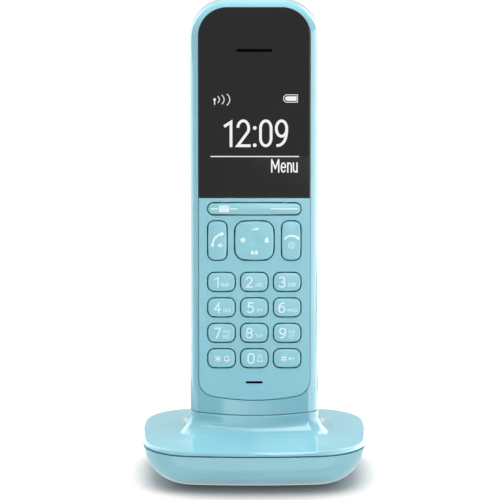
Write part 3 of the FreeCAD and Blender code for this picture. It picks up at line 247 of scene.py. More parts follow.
def ring_faces(rings, around):
    """Faces of a grid of rings that closes round and ends in two points.

    Vertex 0 is the first point, the last vertex the last point, and ring i starts at 1 + i * around.
    """
    here = np.arange(around)
    ahead = (here + 1) % around
    start = 1 + np.arange(rings - 1)[:, None] * around
    quads = np.stack([start + here, start + ahead, start + around + ahead, start + around + here], axis=-1)
    first = np.stack([np.zeros(around, int), 1 + ahead, 1 + here], axis=-1)
    last = 1 + (rings - 1) * around
    end = np.stack([np.full(around, last + around), last + here, last + ahead], axis=-1)
    return quads.reshape(-1, 4).tolist() + first.tolist() + end.tolist()


def bow(centre, reach, rise, start, end, count=28):
    """Points on an arc of an ellipse, angles in degrees."""
    turn = np.radians(np.linspace(start, end, count))
    return np.stack([centre[0] + reach * np.cos(turn), centre[1] + rise * np.sin(turn)], axis=1)


# Points of a rounded outline, and how soon a side has passed from one corner to the next
OUTLINE_POINTS = 96
OUTLINE_SLIDE = 2.6


def rounded_outline(wide, high, corner, inset):
    """Rounded rectangle whose sides bow a little, drawn in by inset.

    A point is the corner's centre, slid along the sides as the angle passes them, plus the corner's
    radius in the direction of the angle.
    """
    turn = np.arange(OUTLINE_POINTS) / OUTLINE_POINTS * 2 * math.pi
    cosine, sine = np.cos(turn), np.sin(turn)
    radius = corner - inset
    across = (wide / 2 - corner) * np.clip(OUTLINE_SLIDE * cosine, -1, 1) + radius * cosine
    up = (high / 2 - corner) * np.clip(OUTLINE_SLIDE * sine, -1, 1) + radius * sine
    return across, up


# Finishes: scales are per metre, depths in metres, and ranges are shares of a colour or roughness

CLOUD_SCALE = 28
CLOUD_RANGE = (0.975, 1.025)
SMUDGE_SCALE = 90
SMUDGE_RANGE = (0.85, 1.2)
COAT_ROUGHNESS = 0.06
DRAWN_SCALE = 900
DRAWN_DEPTH = 4e-6
DRAWN_SHADE = 0.86
DRAWN_RANGE = (0.7, 1.4)
PATCH_SCALE = 1500
PATCH_SHADE = 0.94
PAINT_ROUGHNESS = (0.42, 0.55)
WEAVE_SCALE = 6000
PICTURE_DOT = 0.3 * MM
PICTURE_GAP = 0.01 * MM


def new_material(name):
    """Empty node material with its shader and Object coordinates."""
    material = bpy.data.materials.new(name)
    material.use_nodes = True
    tree = material.node_tree
    place = tree.nodes.new("ShaderNodeTexCoord").outputs["Object"]
    return material, tree, tree.nodes["Principled BSDF"], place


def noise(tree, place, scale, detail, stretch=None):
    """Noise of a scale and a detail; stretch scales its axes."""
    if stretch:
        mapping = tree.nodes.new("ShaderNodeMapping")
        mapping.inputs["Scale"].default_value = stretch
        tree.links.new(place, mapping.inputs["Vector"])
        place = mapping.outputs["Vector"]
    made = tree.nodes.new("ShaderNodeTexNoise")
    made.inputs["Scale"].default_value = scale
    made.inputs["Detail"].default_value = detail
    tree.links.new(place, made.inputs["Vector"])
    return made.outputs["Fac"]


def spread(tree, value, low, high, start=0.3, end=0.7):
    """Map a value between start and end, which suit a noise if not given, to a range."""
    made = tree.nodes.new("ShaderNodeMapRange")
    made.inputs["From Min"].default_value = start
    made.inputs["From Max"].default_value = end
    made.inputs["To Min"].default_value = low
    made.inputs["To Max"].default_value = high
    tree.links.new(value, made.inputs["Value"])
    return made.outputs["Result"]


def blend_colours(tree, value, first, second):
    """Mix two colours by a value."""
    made = tree.nodes.new("ShaderNodeMix")
    made.data_type = "RGBA"
    made.inputs["A"].default_value = (*first, 1)
    made.inputs["B"].default_value = (*second, 1)
    tree.links.new(value, made.inputs["Factor"])
    return made.outputs["Result"]


def bump(tree, shader, height, depth):
    """Bump of a depth in metres from a height."""
    made = tree.nodes.new("ShaderNodeBump")
    made.inputs["Strength"].default_value = 1
    made.inputs["Distance"].default_value = depth
    tree.links.new(height, made.inputs["Height"])
    tree.links.new(made.outputs["Normal"], shader.inputs["Normal"])


def shade(colour, factor):
    """A colour made darker or lighter."""
    return tuple(min(1.0, part * factor) for part in colour)


def moulded(name, colour, roughness, grain, depth, coat=0.0, ior=1.5):
    """Moulded plastic: slow clouds in the colour, smudges in the roughness, a fine grain as bump."""
    material, tree, shader, place = new_material(name)
    clouds = spread(tree, noise(tree, place, CLOUD_SCALE, 3), 0, 1)
    tones = [shade(colour, factor) for factor in CLOUD_RANGE]
    tree.links.new(blend_colours(tree, clouds, *tones), shader.inputs["Base Color"])
    dull, dullest = (roughness * factor for factor in SMUDGE_RANGE)
    smudges = spread(tree, noise(tree, place, SMUDGE_SCALE, 5), dull, dullest)
    tree.links.new(smudges, shader.inputs["Roughness"])
    bump(tree, shader, noise(tree, place, grain, 2), depth)
    shader.inputs["IOR"].default_value = ior
    shader.inputs["Coat Weight"].default_value = coat
    shader.inputs["Coat Roughness"].default_value = COAT_ROUGHNESS
    return material


def metal(name, colour, roughness, stretch):
    """Drawn or rolled metal: fine lines along one axis in colour, roughness and bump."""
    material, tree, shader, place = new_material(name)
    lines = noise(tree, place, DRAWN_SCALE, 3, stretch)
    tree.links.new(blend_colours(tree, spread(tree, lines, 0, 1), shade(colour, DRAWN_SHADE), colour),
                   shader.inputs["Base Color"])
    dull, dullest = (roughness * factor for factor in DRAWN_RANGE)
    tree.links.new(spread(tree, lines, dull, dullest), shader.inputs["Roughness"])
    bump(tree, shader, lines, DRAWN_DEPTH)
    shader.inputs["Metallic"].default_value = 1
    return material


def white_paint(name, colour):
    """Printed white with a trace of screen-print unevenness."""
    material, tree, shader, place = new_material(name)
    patches = spread(tree, noise(tree, place, PATCH_SCALE, 3), 0, 1)
    tree.links.new(blend_colours(tree, patches, shade(colour, PATCH_SHADE), colour),
                   shader.inputs["Base Color"])
    tree.links.new(spread(tree, patches, *PAINT_ROUGHNESS), shader.inputs["Roughness"])
    return material


def slot_shade_cloth(name):
    """Dull cloth with a fine weave, near-total black as painted shade inside its slot."""
    material, tree, shader, place = new_material(name)
    weave = spread(tree, noise(tree, place, WEAVE_SCALE, 1), 0, 1)
    # Painted shade: near-total black stands in for the shade inside the slot
    tree.links.new(blend_colours(tree, weave, (0.001, 0.001, 0.001), (0.004, 0.004, 0.004)),
                   shader.inputs["Base Color"])
    shader.inputs["Roughness"].default_value = 1
    shader.inputs["Specular IOR Level"].default_value = 0
    return material


def screen_light(name):
    """Lit white of the display, woven through by a faint grid of picture dots."""
    material, tree, shader, place = new_material(name)
    dots = tree.nodes.new("ShaderNodeTexBrick")
    dots.offset = 0
    dots.inputs["Scale"].default_value = 1
    dots.inputs["Brick Width"].default_value = PICTURE_DOT
    dots.inputs["Row Height"].default_value = PICTURE_DOT
    dots.inputs["Mortar Size"].default_value = PICTURE_GAP
    dots.inputs["Color1"].default_value = (0.86, 0.88, 0.88, 1)
    dots.inputs["Color2"].default_value = (0.82, 0.85, 0.85, 1)
    dots.inputs["Mortar"].default_value = (0.5, 0.52, 0.52, 1)
    turn = tree.nodes.new("ShaderNodeMapping")
    turn.inputs["Rotation"].default_value = (math.radians(90), 0, 0)
    tree.links.new(place, turn.inputs["Vector"])
    tree.links.new(turn.outputs["Vector"], dots.inputs["Vector"])
    tree.links.new(dots.outputs["Color"], shader.inputs["Emission Color"])
    shader.inputs["Emission Strength"].default_value = 1
    shader.inputs["Base Color"].default_value = (0.02, 0.02, 0.02, 1)
    shader.inputs["Roughness"].default_value = 0.5
    return material


def dress(material, *nodes):
    """Give CAD nodes a material."""
    for node in nodes:
        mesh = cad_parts[node].data
        mesh.materials.clear()
        mesh.materials.append(material)


class HANDSET_OT_shells(bpy.types.Operator):
    """Glossy moulded finish of the shells of handset and cradle"""

    bl_idname = "handset.shells"
    bl_label = "Shell finish"

    def execute(self, context):
        finish = settings("finish")
        gloss = moulded("blue_gloss_shell", finish.shell, finish.shell_roughness,
                        grain=5200, depth=1.5e-7, ior=1.52)
        dress(gloss, "front_frame", "rear_shell", "battery_cover", "cradle_top_cover", "cradle_lower_shell")
        return {"FINISHED"}


class HANDSET_OT_front(bpy.types.Operator):
    """Black display window and satin keypad plate"""

    bl_idname = "handset.front"
    bl_label = "Window and plate finish"

    def execute(self, context):
        finish = settings("finish")
        window = moulded("black_window", finish.window, roughness=0.12, grain=4000, depth=3e-7, ior=1.33)
        dress(window, "display_window")
        plate = moulded("blue_satin_plate", finish.plate, finish.plate_roughness,
                        grain=7000, depth=2.5e-6, ior=1.38)
        dress(plate, "keypad_plate")
        return {"FINISHED"}


class HANDSET_OT_fittings(bpy.types.Operator):
    """Rubber, metal, boards and other parts inside the shells"""

    bl_idname = "handset.fittings"
    bl_label = "Fittings finish"

    def execute(self, context):
        rubber = moulded("dark_rubber_feet", (0.05, 0.05, 0.055), roughness=0.75, grain=3500, depth=1.2e-5)
        dress(rubber, "rubber_feet", "display_gasket", "earpiece_gasket", "microphone_boot")
        black = moulded("black_moulding", (0.03, 0.03, 0.03), roughness=0.5, grain=5000, depth=4e-6)
        dress(black, "power_socket", "earpiece_capsule", "microphone", "ringer_speaker", "nav_pivot")
        milky = moulded("milky_silicone", (0.62, 0.66, 0.68), roughness=0.55, grain=3000, depth=5e-6)
        dress(milky, "keymat")
        film = moulded("dome_film", (0.7, 0.7, 0.66), roughness=0.35, grain=2500, depth=2e-6)
        dress(film, "dome_sheet")
        green = moulded("solder_mask", (0.03, 0.18, 0.08), roughness=0.3, grain=2200, depth=6e-6)
        dress(green, "main_board", "cradle_board")
        glass = moulded("display_glass", (0.03, 0.035, 0.04), roughness=0.12, grain=4000, depth=4e-7)
        dress(glass, "display_module")
        sleeve = moulded("cell_sleeve", (0.12, 0.32, 0.16), roughness=0.28, grain=2600, depth=3e-6,
                         coat=0.3)
        dress(sleeve, "battery_cells")
        steel = metal("zinc_steel", (0.40, 0.41, 0.43), roughness=0.55, stretch=(1, 1, 0.08))
        dress(steel, "cradle_screws", "ballast_plate", "handset_screws", "radio_shield", "antenna")
        plated = metal("plated_contact", (0.78, 0.72, 0.52), roughness=0.25, stretch=(0.08, 1, 1))
        dress(plated, "socket_pins", "contact_spring_left", "contact_spring_right",
              "battery_contacts", "charge_pads")
        return {"FINISHED"}


# Cradle cover

# Points along the front or back, a corner, a side and the next corner
SIDE_COUNTS = (64, 20, 44, 20)
# Stations round an edge, over the deck and up the flare
EDGE_STATIONS = 8
DECK_STATIONS = 15
FLARE_STATIONS = 15
# Where the rings of the wall and of the well's floor lie, as shares of the way
WALL_RINGS = (0.33, 0.67)
FLOOR_RINGS = (0.7, 0.4)
# The flare widens over this many front corner radii, and starts at this share of that way behind the front
WIDEN_REACH = 1.5
WIDEN_START = 0.2
# Most of the wall's height that the flare may take
FLARE_LIMIT = 0.85
# Corners of the slots for the contact springs, and how far these are cut below and above the well's floor
SLOT_CORNER = 1 * MM
SLOT_BELOW = 4 * MM
SLOT_ABOVE = 2 * MM
COVER_CREASE = 50


def base_loop(wide, deep, side, corner, inset):
    """Plan of the cradle, drawn in by inset: four bowed sides that touch four round corners.

    The corner's centre lies as far from the centres of both bows as their radii differ.
    """
    across, along = side - wide / 2, side - deep / 2
    offset, slope = (along ** 2 - across ** 2) / (2 * across), along / across
    first, second = slope ** 2 + 1, 2 * slope * (offset + across)
    third = (offset + across) ** 2 - (side - corner) ** 2
    up = (math.sqrt(second ** 2 - 4 * first * third) - second) / (2 * first)
    right = slope * up + offset
    low = math.degrees(math.atan2(up, right + across))
    high = math.degrees(math.atan2(up + along, right))
    big, small = side - inset, corner - inset
    arcs = [((0, along), big, 180 + high, 360 - high), ((right, -up), small, 360 - high, 360 - low),
            ((-across, 0), big, -low, low), ((right, up), small, low, high),
            ((0, -along), big, high, 180 - high), ((-right, up), small, 180 - high, 180 - low),
            ((across, 0), big, 180 - low, 180 + low), ((-right, -up), small, 180 + low, 180 + high)]
    return np.concatenate([bow(centre, radius, radius, start, end, count + 1)[:-1]
                           for (centre, radius, start, end), count in zip(arcs, SIDE_COUNTS * 2)])


def section_loop(half, front, rear, front_round, back_round, inset):
    """Section of the handset, drawn in by inset: straight sides and round corners."""
    near, far = half - front_round, half - back_round
    ahead, behind = front + front_round, rear - back_round
    small, large = front_round - inset, back_round - inset
    arcs = [((near, ahead), small, -90, 0), ((far, behind), large, 0, 90),
            ((-far, behind), large, 90, 180), ((-near, ahead), small, 180, 270)]
    corners = [bow(centre, radius, radius, start, end, SIDE_COUNTS[1] + 1)
               for centre, radius, start, end in arcs]
    runs = []
    for number, count in enumerate((SIDE_COUNTS[0], SIDE_COUNTS[2]) * 2):
        part = np.linspace(0, 1, count + 1)[:-1, None]
        runs += [corners[number - 1][-1] * (1 - part) + corners[number][0] * part, corners[number][:-1]]
    return np.concatenate(runs)


def cover_surface(cover, place, wide, deep, bottom, section):
    """Rings of the cradle's cover from the middle of its underside to the middle of the well's floor.

    From the rounded edge the deck rises to the collar along a cosine. Round the collar it turns up in a
    quarter circle, tight at the middle of the front and wide at the corners, sides and back, and follows
    the leaning wall to the swept rim. The well goes down inside the rim.
    """
    top = bottom + cover.thickness
    sine, cosine = math.sin(place.lean), math.cos(place.lean)

    def flat(inset, height):
        loop = base_loop(wide, deep, cover.side, cover.corner, inset)
        return np.column_stack([loop, np.full(len(loop), height)])

    def collar(inset):
        return section_loop(*section, cover.front_round, cover.back_round, inset).T

    def rim_at(across):
        return cover.sweep - np.sqrt(cover.sweep ** 2 - across ** 2) - cover.rim_gap

    turns = np.linspace(0, math.pi / 2, EDGE_STATIONS)
    rings = [flat(cover.under, bottom), flat(0, bottom + cover.under)]
    rings += [flat(cover.edge * (1 - math.cos(turn)), top - cover.edge * (1 - math.sin(turn)))
              for turn in turns]

    across, back = collar(0)
    half, front, rear = section
    foot_up = (top + cover.dome - place.rim + back * sine) / cosine
    foot = to_frame(across, back, foot_up)
    away = rings[-1][:, :2] - foot[:, :2]
    reach = np.linalg.norm(away, axis=1)
    away /= reach[:, None]
    behind = np.clip((back - front) / (WIDEN_REACH * cover.front_round) - WIDEN_START, 0, 1)
    round_off = np.clip((across / half) ** 2 + behind, 0, 1)
    flare = cover.flare + (cover.side_flare - cover.flare) * round_off
    flare = np.minimum(flare, FLARE_LIMIT * (rim_at(across) - foot_up))

    def deck(distance, height):
        """Ring at a distance from the wall's foot, raised by a height, leaning like the wall near it."""
        plan = foot[:, :2] + away * distance[:, None]
        plan[:, 1] += height * math.tan(place.lean) * np.clip(1 - distance / flare, 0, 1)
        level = top + cover.dome * (0.5 + 0.5 * np.cos(math.pi * distance / reach)) + height
        return np.column_stack([plan, level])

    rings += [deck(flare + (reach - flare) * part, np.zeros_like(flare))
              for part in np.linspace(1, 0, DECK_STATIONS)[1:]]
    rings += [deck(flare * (1 - math.cos(turn)), flare * (1 - math.sin(turn)))
              for turn in np.linspace(math.pi / 2, 0, FLARE_STATIONS)[1:]]
    start, end = foot_up + flare / cosine, rim_at(across) - cover.rim_round
    rings += [to_frame(across, back, start + (end - start) * part) for part in WALL_RINGS]
    for turn in turns[::2]:
        across, back = collar(cover.rim_round * (1 - math.cos(turn)))
        rings.append(to_frame(across, back, rim_at(across) - cover.rim_round * (1 - math.sin(turn))))
    across, back = collar(cover.land)
    rings += [to_frame(across, back, rim_at(across)), to_frame(across, back, -cover.depth)]
    middle = (front + rear) / 2
    rings += [to_frame(across * part, middle + (back - middle) * part, -cover.depth)
              for part in FLOOR_RINGS]
    rings = np.array(rings)
    points = np.concatenate([[[0, 0, bottom]], rings.reshape(-1, 3), [to_frame(0.0, middle, -cover.depth)]])
    return points, ring_faces(*rings.shape[:2])


def cut_out(piece, points, faces):
    """Take a closed shape out of a piece, with its mesh made anew."""
    mesh = bpy.data.meshes.new("cutter")
    mesh.from_pydata(points, [], faces)
    cutter = bpy.data.objects.new("cutter", mesh)
    bpy.context.scene.collection.objects.link(cutter)
    change = piece.modifiers.new("slots", "BOOLEAN")
    change.object = cutter
    change.solver = "EXACT"
    shown = piece.evaluated_get(bpy.context.evaluated_depsgraph_get())
    cut = bpy.data.meshes.new_from_object(shown)
    piece.modifiers.remove(change)
    cut.name = piece.data.name
    piece.data = cut
    bpy.data.objects.remove(cutter)
    bpy.data.meshes.remove(mesh)


class HANDSET_OT_cover(bpy.types.Operator):
    """Domed cover of the cradle with its flared collar and the handset's well"""

    bl_idname = "handset.cover"
    bl_label = "Cradle cover"

    def execute(self, context):
        cover, place = settings("cover"), settings("place")
        low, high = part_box("cradle_top_cover")
        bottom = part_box("cradle_lower_shell")[1].z + cover.gap
        half, rear = span_of("rear_shell")[1][:2]
        front = span_of("front_frame")[0][1]
        section = (half, front, rear)
        points, faces = cover_surface(cover, place, high.x - low.x, high.y - low.y, bottom, section)
        gloss = bpy.data.materials["blue_gloss_shell"]
        piece = make_piece("cradle_cover", points, faces, "cradle", gloss, COVER_CREASE)
        across, along = rounded_outline(cover.slot_wide, cover.slot_long, SLOT_CORNER, 0)
        back = along + (front + rear) / 2 + cover.slot_shift
        for side in (-1, 1):
            ends = [to_frame(across + side * cover.slot_across, back, level)
                    for level in (-cover.depth - SLOT_BELOW, -cover.depth + SLOT_ABOVE)]
            caps = [[end.mean(axis=0)] for end in ends]
            cut_out(piece, np.concatenate([caps[0], *ends, caps[1]]), ring_faces(2, OUTLINE_POINTS))
        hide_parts("cradle_top_cover")
        return {"FINISHED"}


# Key caps

NUMBER_KEYS = ("key_1", "key_2", "key_3", "key_4", "key_5", "key_6",
               "key_7", "key_8", "key_9", "key_star", "key_0", "key_hash")
SIDE_KEYS = ("call_key", "end_key")
# Stations round a cap's edge and over its top
CAP_EDGE_STATIONS = 7
CAP_TOP_STATIONS = 15
# How far below the rim the skirt ends, in edge radii, and how many strips of faces it has, which take the
# painted shade of the gap round the cap
SKIRT_DROP = 1.2
SKIRT_STRIPS = 3
CAP_CREASE = 35
# Roughness of the keys, as a share of the plate's
KEY_ROUGHNESS = 0.8


def cap_level(across, up, wide, high, rim, crown, dish, dish_spread):
    """Level of a cap's top: a parabolic crown that meets the rim at the sides, less a bell-shaped dish."""
    rise = crown * (1 - (2 * across / wide) ** 2) * (1 - (2 * up / high) ** 2)
    hollow = dish * np.exp(-(across ** 2 + up ** 2) / dish_spread ** 2)
    return rim - rise + hollow


def cap_surface(wide, high, corner, rim, crown, edge, flange, dish, dish_spread):
    """Rings of a key cap from the middle of its back to the middle of its top.

    The outline is carried up a profile: flange, wall, quarter round, then shrinking rings on the crown.
    """
    flange_front, flange_back, reach = flange
    turns = np.linspace(0, math.pi / 2, CAP_EDGE_STATIONS)
    insets = np.concatenate([[-reach, -reach, 0, 0], edge * (1 - np.cos(turns))])
    levels = np.concatenate([[flange_back, flange_front, flange_front, rim + edge * SKIRT_DROP],
                             rim + edge * (1 - np.sin(turns))])
    rings = []
    for inset, level in zip(insets, levels):
        across, up = rounded_outline(wide, high, corner, inset)
        rings.append(np.stack([across, np.full_like(across, level), up], axis=-1))
    across, up = rounded_outline(wide, high, corner, edge)
    inner_wide, inner_high = wide - 2 * edge, high - 2 * edge
    for scale in np.linspace(1, 0, CAP_TOP_STATIONS)[1:-1]:
        level = cap_level(across * scale, up * scale, inner_wide, inner_high, rim, crown, dish, dish_spread)
        rings.append(np.stack([across * scale, level, up * scale], axis=-1))
    rings = np.array(rings)
    top = cap_level(0.0, 0.0, inner_wide, inner_high, rim, crown, dish, dish_spread)
    points = np.concatenate([[[0, flange_back, 0]], rings.reshape(-1, 3), [[0, top, 0]]])
    return points, ring_faces(len(rings), OUTLINE_POINTS)


def key_shape(node):
    """Middle, size and crown of a key's cap, from its CAD node and the cap sizes."""
    caps = settings("caps")
    low, high = span_of(node)
    reach, seam = caps.flange_reach, caps.seam
    bar = node == "softkey_rocker"
    shape = {"middle": ((low[0] + high[0]) / 2, (low[2] + high[2]) / 2),
             "wide": high[0] - low[0] - 2 * (0 if bar else reach) - 2 * seam,
             "high": high[2] - low[2] - 2 * reach - 2 * seam,
             "corner": caps.number_corner, "rim": caps.rim, "crown": caps.crown, "edge": caps.edge,
             "flange": (caps.flange_front, caps.flange_back, reach), "dish": 0.0,
             "dish_spread": caps.dish_spread}
    if node in SIDE_KEYS:
        shape["corner"] = caps.side_corner
    elif node == "nav_key":
        shape.update(corner=caps.nav_corner, dish=caps.dish,
                     flange=(caps.nav_flange_front, caps.nav_flange_back, reach))
    elif bar:
        shape.update(corner=caps.bar_corner, rim=caps.bar_rim,
                     flange=(caps.flange_front, caps.flange_back, 0.0))
    return shape


class HANDSET_OT_caps(bpy.types.Operator):
    """Crowned key caps in place of the plain keys"""

    bl_idname = "handset.caps"
    bl_label = "Key caps"

    def execute(self, context):
        finish = settings("finish")
        satin = moulded("blue_satin_key", finish.key, finish.plate_roughness * KEY_ROUGHNESS,
                        grain=7000, depth=2e-6, ior=1.38)
        # Painted shade: the skirt, the cap's lower wall and flange, is dark and barely glossy in place of
        # the shade in the gap round the cap
        skirt_shade = moulded("painted_key_skirt_shade", finish.skirt_shade, roughness=0.6, grain=4000, depth=3e-6, ior=1.05)
        for node in (*NUMBER_KEYS, *SIDE_KEYS, "nav_key", "softkey_rocker"):
            shape = key_shape(node)
            middle = shape.pop("middle")
            points, faces = cap_surface(**shape)
            placed = to_frame(points[:, 0] + middle[0], points[:, 1], points[:, 2] + middle[1])
            cap = make_piece("cap_" + node, placed, faces, node, satin, CAP_CREASE)
            cap.data.materials.append(skirt_shade)
            # A flange without reach has a strip of empty faces, which the merging took away
            merged = len(faces) - len(cap.data.polygons)
            slots = np.zeros(len(cap.data.polygons), dtype=np.int32)
            slots[:SKIRT_STRIPS * OUTLINE_POINTS - merged] = 1
            cap.data.polygons.foreach_set("material_index", slots)
            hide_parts(node)
        return {"FINISHED"}


# Printing: marks are drawn in millimetres

# Least distance between two points of a path
CLOSEST = 2e-3
# Where a path turns sharply, its corner is drawn out no further than this allows
CORNER_LIMIT = 0.35
# Rows of faces across a filled mark, so that it can follow a crowned surface
FILL_ROWS = 6
# Levels of a round spot, and the share of its height that they span
SPOT_LEVELS = 17
SPOT_SHARE = 0.98
# Share of the film's thickness that a print reaches under the surface
PRINT_ROOT = 0.5


def strip(first, second, closed=False, rows=1):
    """Flat mark between two edge lines, as points (across, up, 1 on top or 0 underneath) and faces.

    Each station along the lines is a flat ring: the straight line from the first edge to the second,
    cut into rows, on top, and the same line back underneath.
    """
    first, second = np.asarray(first, float)[:, None], np.asarray(second, float)[:, None]
    part = np.linspace(0, 1, rows + 1)[None, :, None]
    flat = first * (1 - part) + second * part
    top = np.ones((*flat.shape[:2], 1))
    points = np.concatenate([np.concatenate([flat, top], axis=2),
                             np.concatenate([flat[:, ::-1], 0 * top], axis=2)], axis=1)
    count, wide = points.shape[:2]
    row = wide * np.arange(count if closed else count - 1)[:, None]
    ahead = (row + wide) % (wide * count)
    side, beside = np.arange(wide), (np.arange(wide) + 1) % wide
    quads = np.stack([row + side, row + beside, ahead + beside, ahead + side], axis=-1)
    faces = quads.reshape(-1, 4).tolist()
    if not closed:
        faces += [side[::-1].tolist(), (wide * (count - 1) + side).tolist()]
    return points.reshape(-1, 3), faces


def even(path, step=0.4):
    """A path with further points along its runs, so that it can follow a crowned surface.

    The run lengths are added up, and the places at every step are read between the given points.
    """
    path = np.asarray(path, float)
    along = np.concatenate([[0], np.cumsum(np.linalg.norm(np.diff(path, axis=0), axis=1))])
    places = np.unique(np.round(np.concatenate([along, np.arange(0, along[-1], step)]), 4))
    places = places[np.concatenate([[True], np.diff(places) > CLOSEST])]
    return np.stack([np.interp(places, along, path[:, side]) for side in (0, 1)], axis=1)


def stroke(path, width, closed=False):
    """Line of a width along a path.

    Each edge stands half the width off the path; at a corner it stands on the corner's bisector,
    drawn out so that both runs keep their width.
    """
    path = np.asarray(path, float)
    ends = path[:1] if closed else path[:0]
    runs = np.diff(np.concatenate([path, ends]), axis=0)
    runs = runs / np.linalg.norm(runs, axis=1)[:, None]
    before = np.roll(runs, 1, axis=0) if closed else np.concatenate([runs[:1], runs])
    after = runs if closed else np.concatenate([runs, runs[-1:]])
    bisector = before + after
    off = np.stack([-bisector[:, 1], bisector[:, 0]], axis=1)
    off = off / np.maximum(1 + (before * after).sum(axis=1), CORNER_LIMIT)[:, None]
    off = off * (width / 2)
    return strip(path + off, path - off, closed)


def column(levels, widths, across=0.0):
    """Mark that is symmetric about an upright line: its width is given at each level."""
    levels, half = np.asarray(levels, float), np.asarray(widths, float) / 2
    return strip(np.stack([across - half, levels], axis=1), np.stack([across + half, levels], axis=1),
                 rows=FILL_ROWS)


def lying(places, lows, highs):
    """Mark between a lower and an upper level at each place across."""
    places, lows, highs = np.broadcast_arrays(places, lows, highs)
    return strip(np.stack([places, lows], axis=1), np.stack([places, highs], axis=1), rows=FILL_ROWS)


def ring(centre, radius, width):
    """Round line."""
    return stroke(bow(centre, radius, radius, 0, 360)[:-1], width, True)


def dot(centre, radius):
    """Round spot: its width at each level is the chord of the circle."""
    turn = np.linspace(-SPOT_SHARE, SPOT_SHARE, SPOT_LEVELS) * math.pi / 2
    return column(centre[1] + radius * np.sin(turn), 2 * radius * np.cos(turn), centre[0])


def swing(start, bend, end, count=24):
    """Points on the parabola that leaves start and reaches end, drawn towards bend."""
    step = np.linspace(0, 1, count)[:, None]
    start, bend, end = (np.asarray(point, float) for point in (start, bend, end))
    return start * (1 - step) ** 2 + 2 * bend * step * (1 - step) + end * step ** 2


# Centre lines of the characters in a box from 0 to 1; a line that ends where it starts is closed
FIGURES = {
    "0": [np.concatenate([bow((0.5, 0.7), 0.5, 0.3, 0, 180), bow((0.5, 0.3), 0.5, 0.3, 180, 360),
                          [(1.0, 0.7)]])],
    "1": [[(0.0, 0.8), (1.0, 0.95), (1.0, 0.0)]],
    "2": [np.concatenate([bow((0.48, 0.7), 0.47, 0.3, 165, -28), [(0.0, 0.0), (1.0, 0.0)]])],
    "3": [bow((0.42, 0.76), 0.48, 0.24, 140, -90), bow((0.42, 0.26), 0.58, 0.26, 90, -140)],
    "4": [[(0.74, 0.0), (0.74, 0.98)], [(0.74, 0.98), (0.0, 0.29), (1.0, 0.29)]],
    "5": [np.concatenate([[(0.92, 1.0), (0.16, 1.0), (0.1, 0.54)],
                          bow((0.42, 0.31), 0.56, 0.31, 116, -140)])],
    "6": [bow((0.5, 0.31), 0.5, 0.31, 0, 360), swing((0.86, 0.99), (0.0, 0.95), (0.0, 0.31))],
    "7": [[(0.0, 1.0), (1.0, 1.0), (0.32, 0.0)]],
    "8": [bow((0.5, 0.76), 0.42, 0.24, 0, 360), bow((0.5, 0.27), 0.5, 0.27, 0, 360)],
    "9": [bow((0.5, 0.69), 0.5, 0.31, 0, 360), swing((0.14, 0.01), (1.0, 0.05), (1.0, 0.69))],
    "M": [[(0.0, 0.0), (0.0, 1.0), (0.5, 0.28), (1.0, 1.0), (1.0, 0.0)]],
    "e": [np.concatenate([[(0.06, 0.52), (0.96, 0.52)], bow((0.5, 0.5), 0.48, 0.5, 12, 318)])],
    "n": [[(0.0, 0.0), (0.0, 1.0)], np.concatenate([bow((0.5, 0.6), 0.5, 0.4, 180, 0), [(1.0, 0.0)]])],
    "u": [np.concatenate([[(0.0, 1.0)], bow((0.5, 0.4), 0.5, 0.4, 180, 360)]), [(1.0, 1.0), (1.0, 0.0)]],
}


def figure(character, left, bottom, width, height, line):
    """A character drawn in lines of even width, which fill a box; open lines end square."""
    marks = []
    for path in FIGURES[character]:
        path = np.asarray(path) * (width - line, height - line) + (left + line / 2, bottom + line / 2)
        closed = bool(np.allclose(path[0], path[-1]))
        path = even(path)
        if closed:
            path = path[:-1]
        else:
            first, last = path[0] - path[1], path[-1] - path[-2]
            path[0] += first / np.linalg.norm(first) * line / 2
            path[-1] += last / np.linalg.norm(last) * line / 2
        marks.append(stroke(path, line, closed))
    return marks


def lettering(text, left, bottom, width, height):
    """Characters of the built-in typeface as a thin slab, fitted to a box."""
    curve = bpy.data.curves.new("lettering", "FONT")
    curve.body = text
    curve.extrude = 0.5
    curve.resolution_u = 5
    holder = bpy.data.objects.new("lettering", curve)
    mesh = bpy.data.meshes.new_from_object(holder)
    points = np.empty(len(mesh.vertices) * 3)
    mesh.vertices.foreach_get("co", points)
    points = points.reshape(-1, 3)
    faces = [list(face.vertices) for face in mesh.polygons]
    bpy.data.meshes.remove(mesh)
    bpy.data.objects.remove(holder)
    bpy.data.curves.remove(curve)
    low, high = points.min(axis=0), points.max(axis=0)
    points = (points - low) / (high - low) * (width, height, 1) + (left, bottom, 0)
    return points, faces


def print_marks(name, marks, middle, level, body, material):
    """One piece from several marks about a middle, laid on a level that is a function of (across, up)."""
    film = settings("print").film
    points, faces, start = [], [], 0
    for mark_points, mark_faces in marks:
        points.append(np.asarray(mark_points, float))
        faces += [[corner + start for corner in face] for face in mark_faces]
        start += len(mark_points)
    points = np.concatenate(points)
    across, up = points[:, 0] * MM, points[:, 1] * MM
    lift = film * ((1 + PRINT_ROOT) * points[:, 2] - PRINT_ROOT)
    placed = to_frame(across + middle[0], level(across, up) - lift, up + middle[1])
    make_piece(name, placed, faces, body, material)


def cap_print(node, marks, material):
    """Marks printed on a key's cap."""
    shape = key_shape(node)
    inner = (shape["wide"] - 2 * shape["edge"], shape["high"] - 2 * shape["edge"])
    form = [shape[size] for size in ("rim", "crown", "dish", "dish_spread")]

    def level(across, up):
        return cap_level(across, up, *inner, *form)

    print_marks("print_" + node, marks, shape["middle"], level, node, material)


DIGITS = {"key_1": "1", "key_2": "2", "key_3": "3", "key_4": "4", "key_5": "5", "key_6": "6",
          "key_7": "7", "key_8": "8", "key_9": "9", "key_0": "0"}
LETTERS = {"key_2": ("ABC",), "key_3": ("DEF",), "key_4": ("GHI",), "key_5": ("JKL",), "key_6": ("MNO",),
           "key_7": ("PQ", "RS"), "key_8": ("TUV",), "key_9": ("WX", "YZ")}
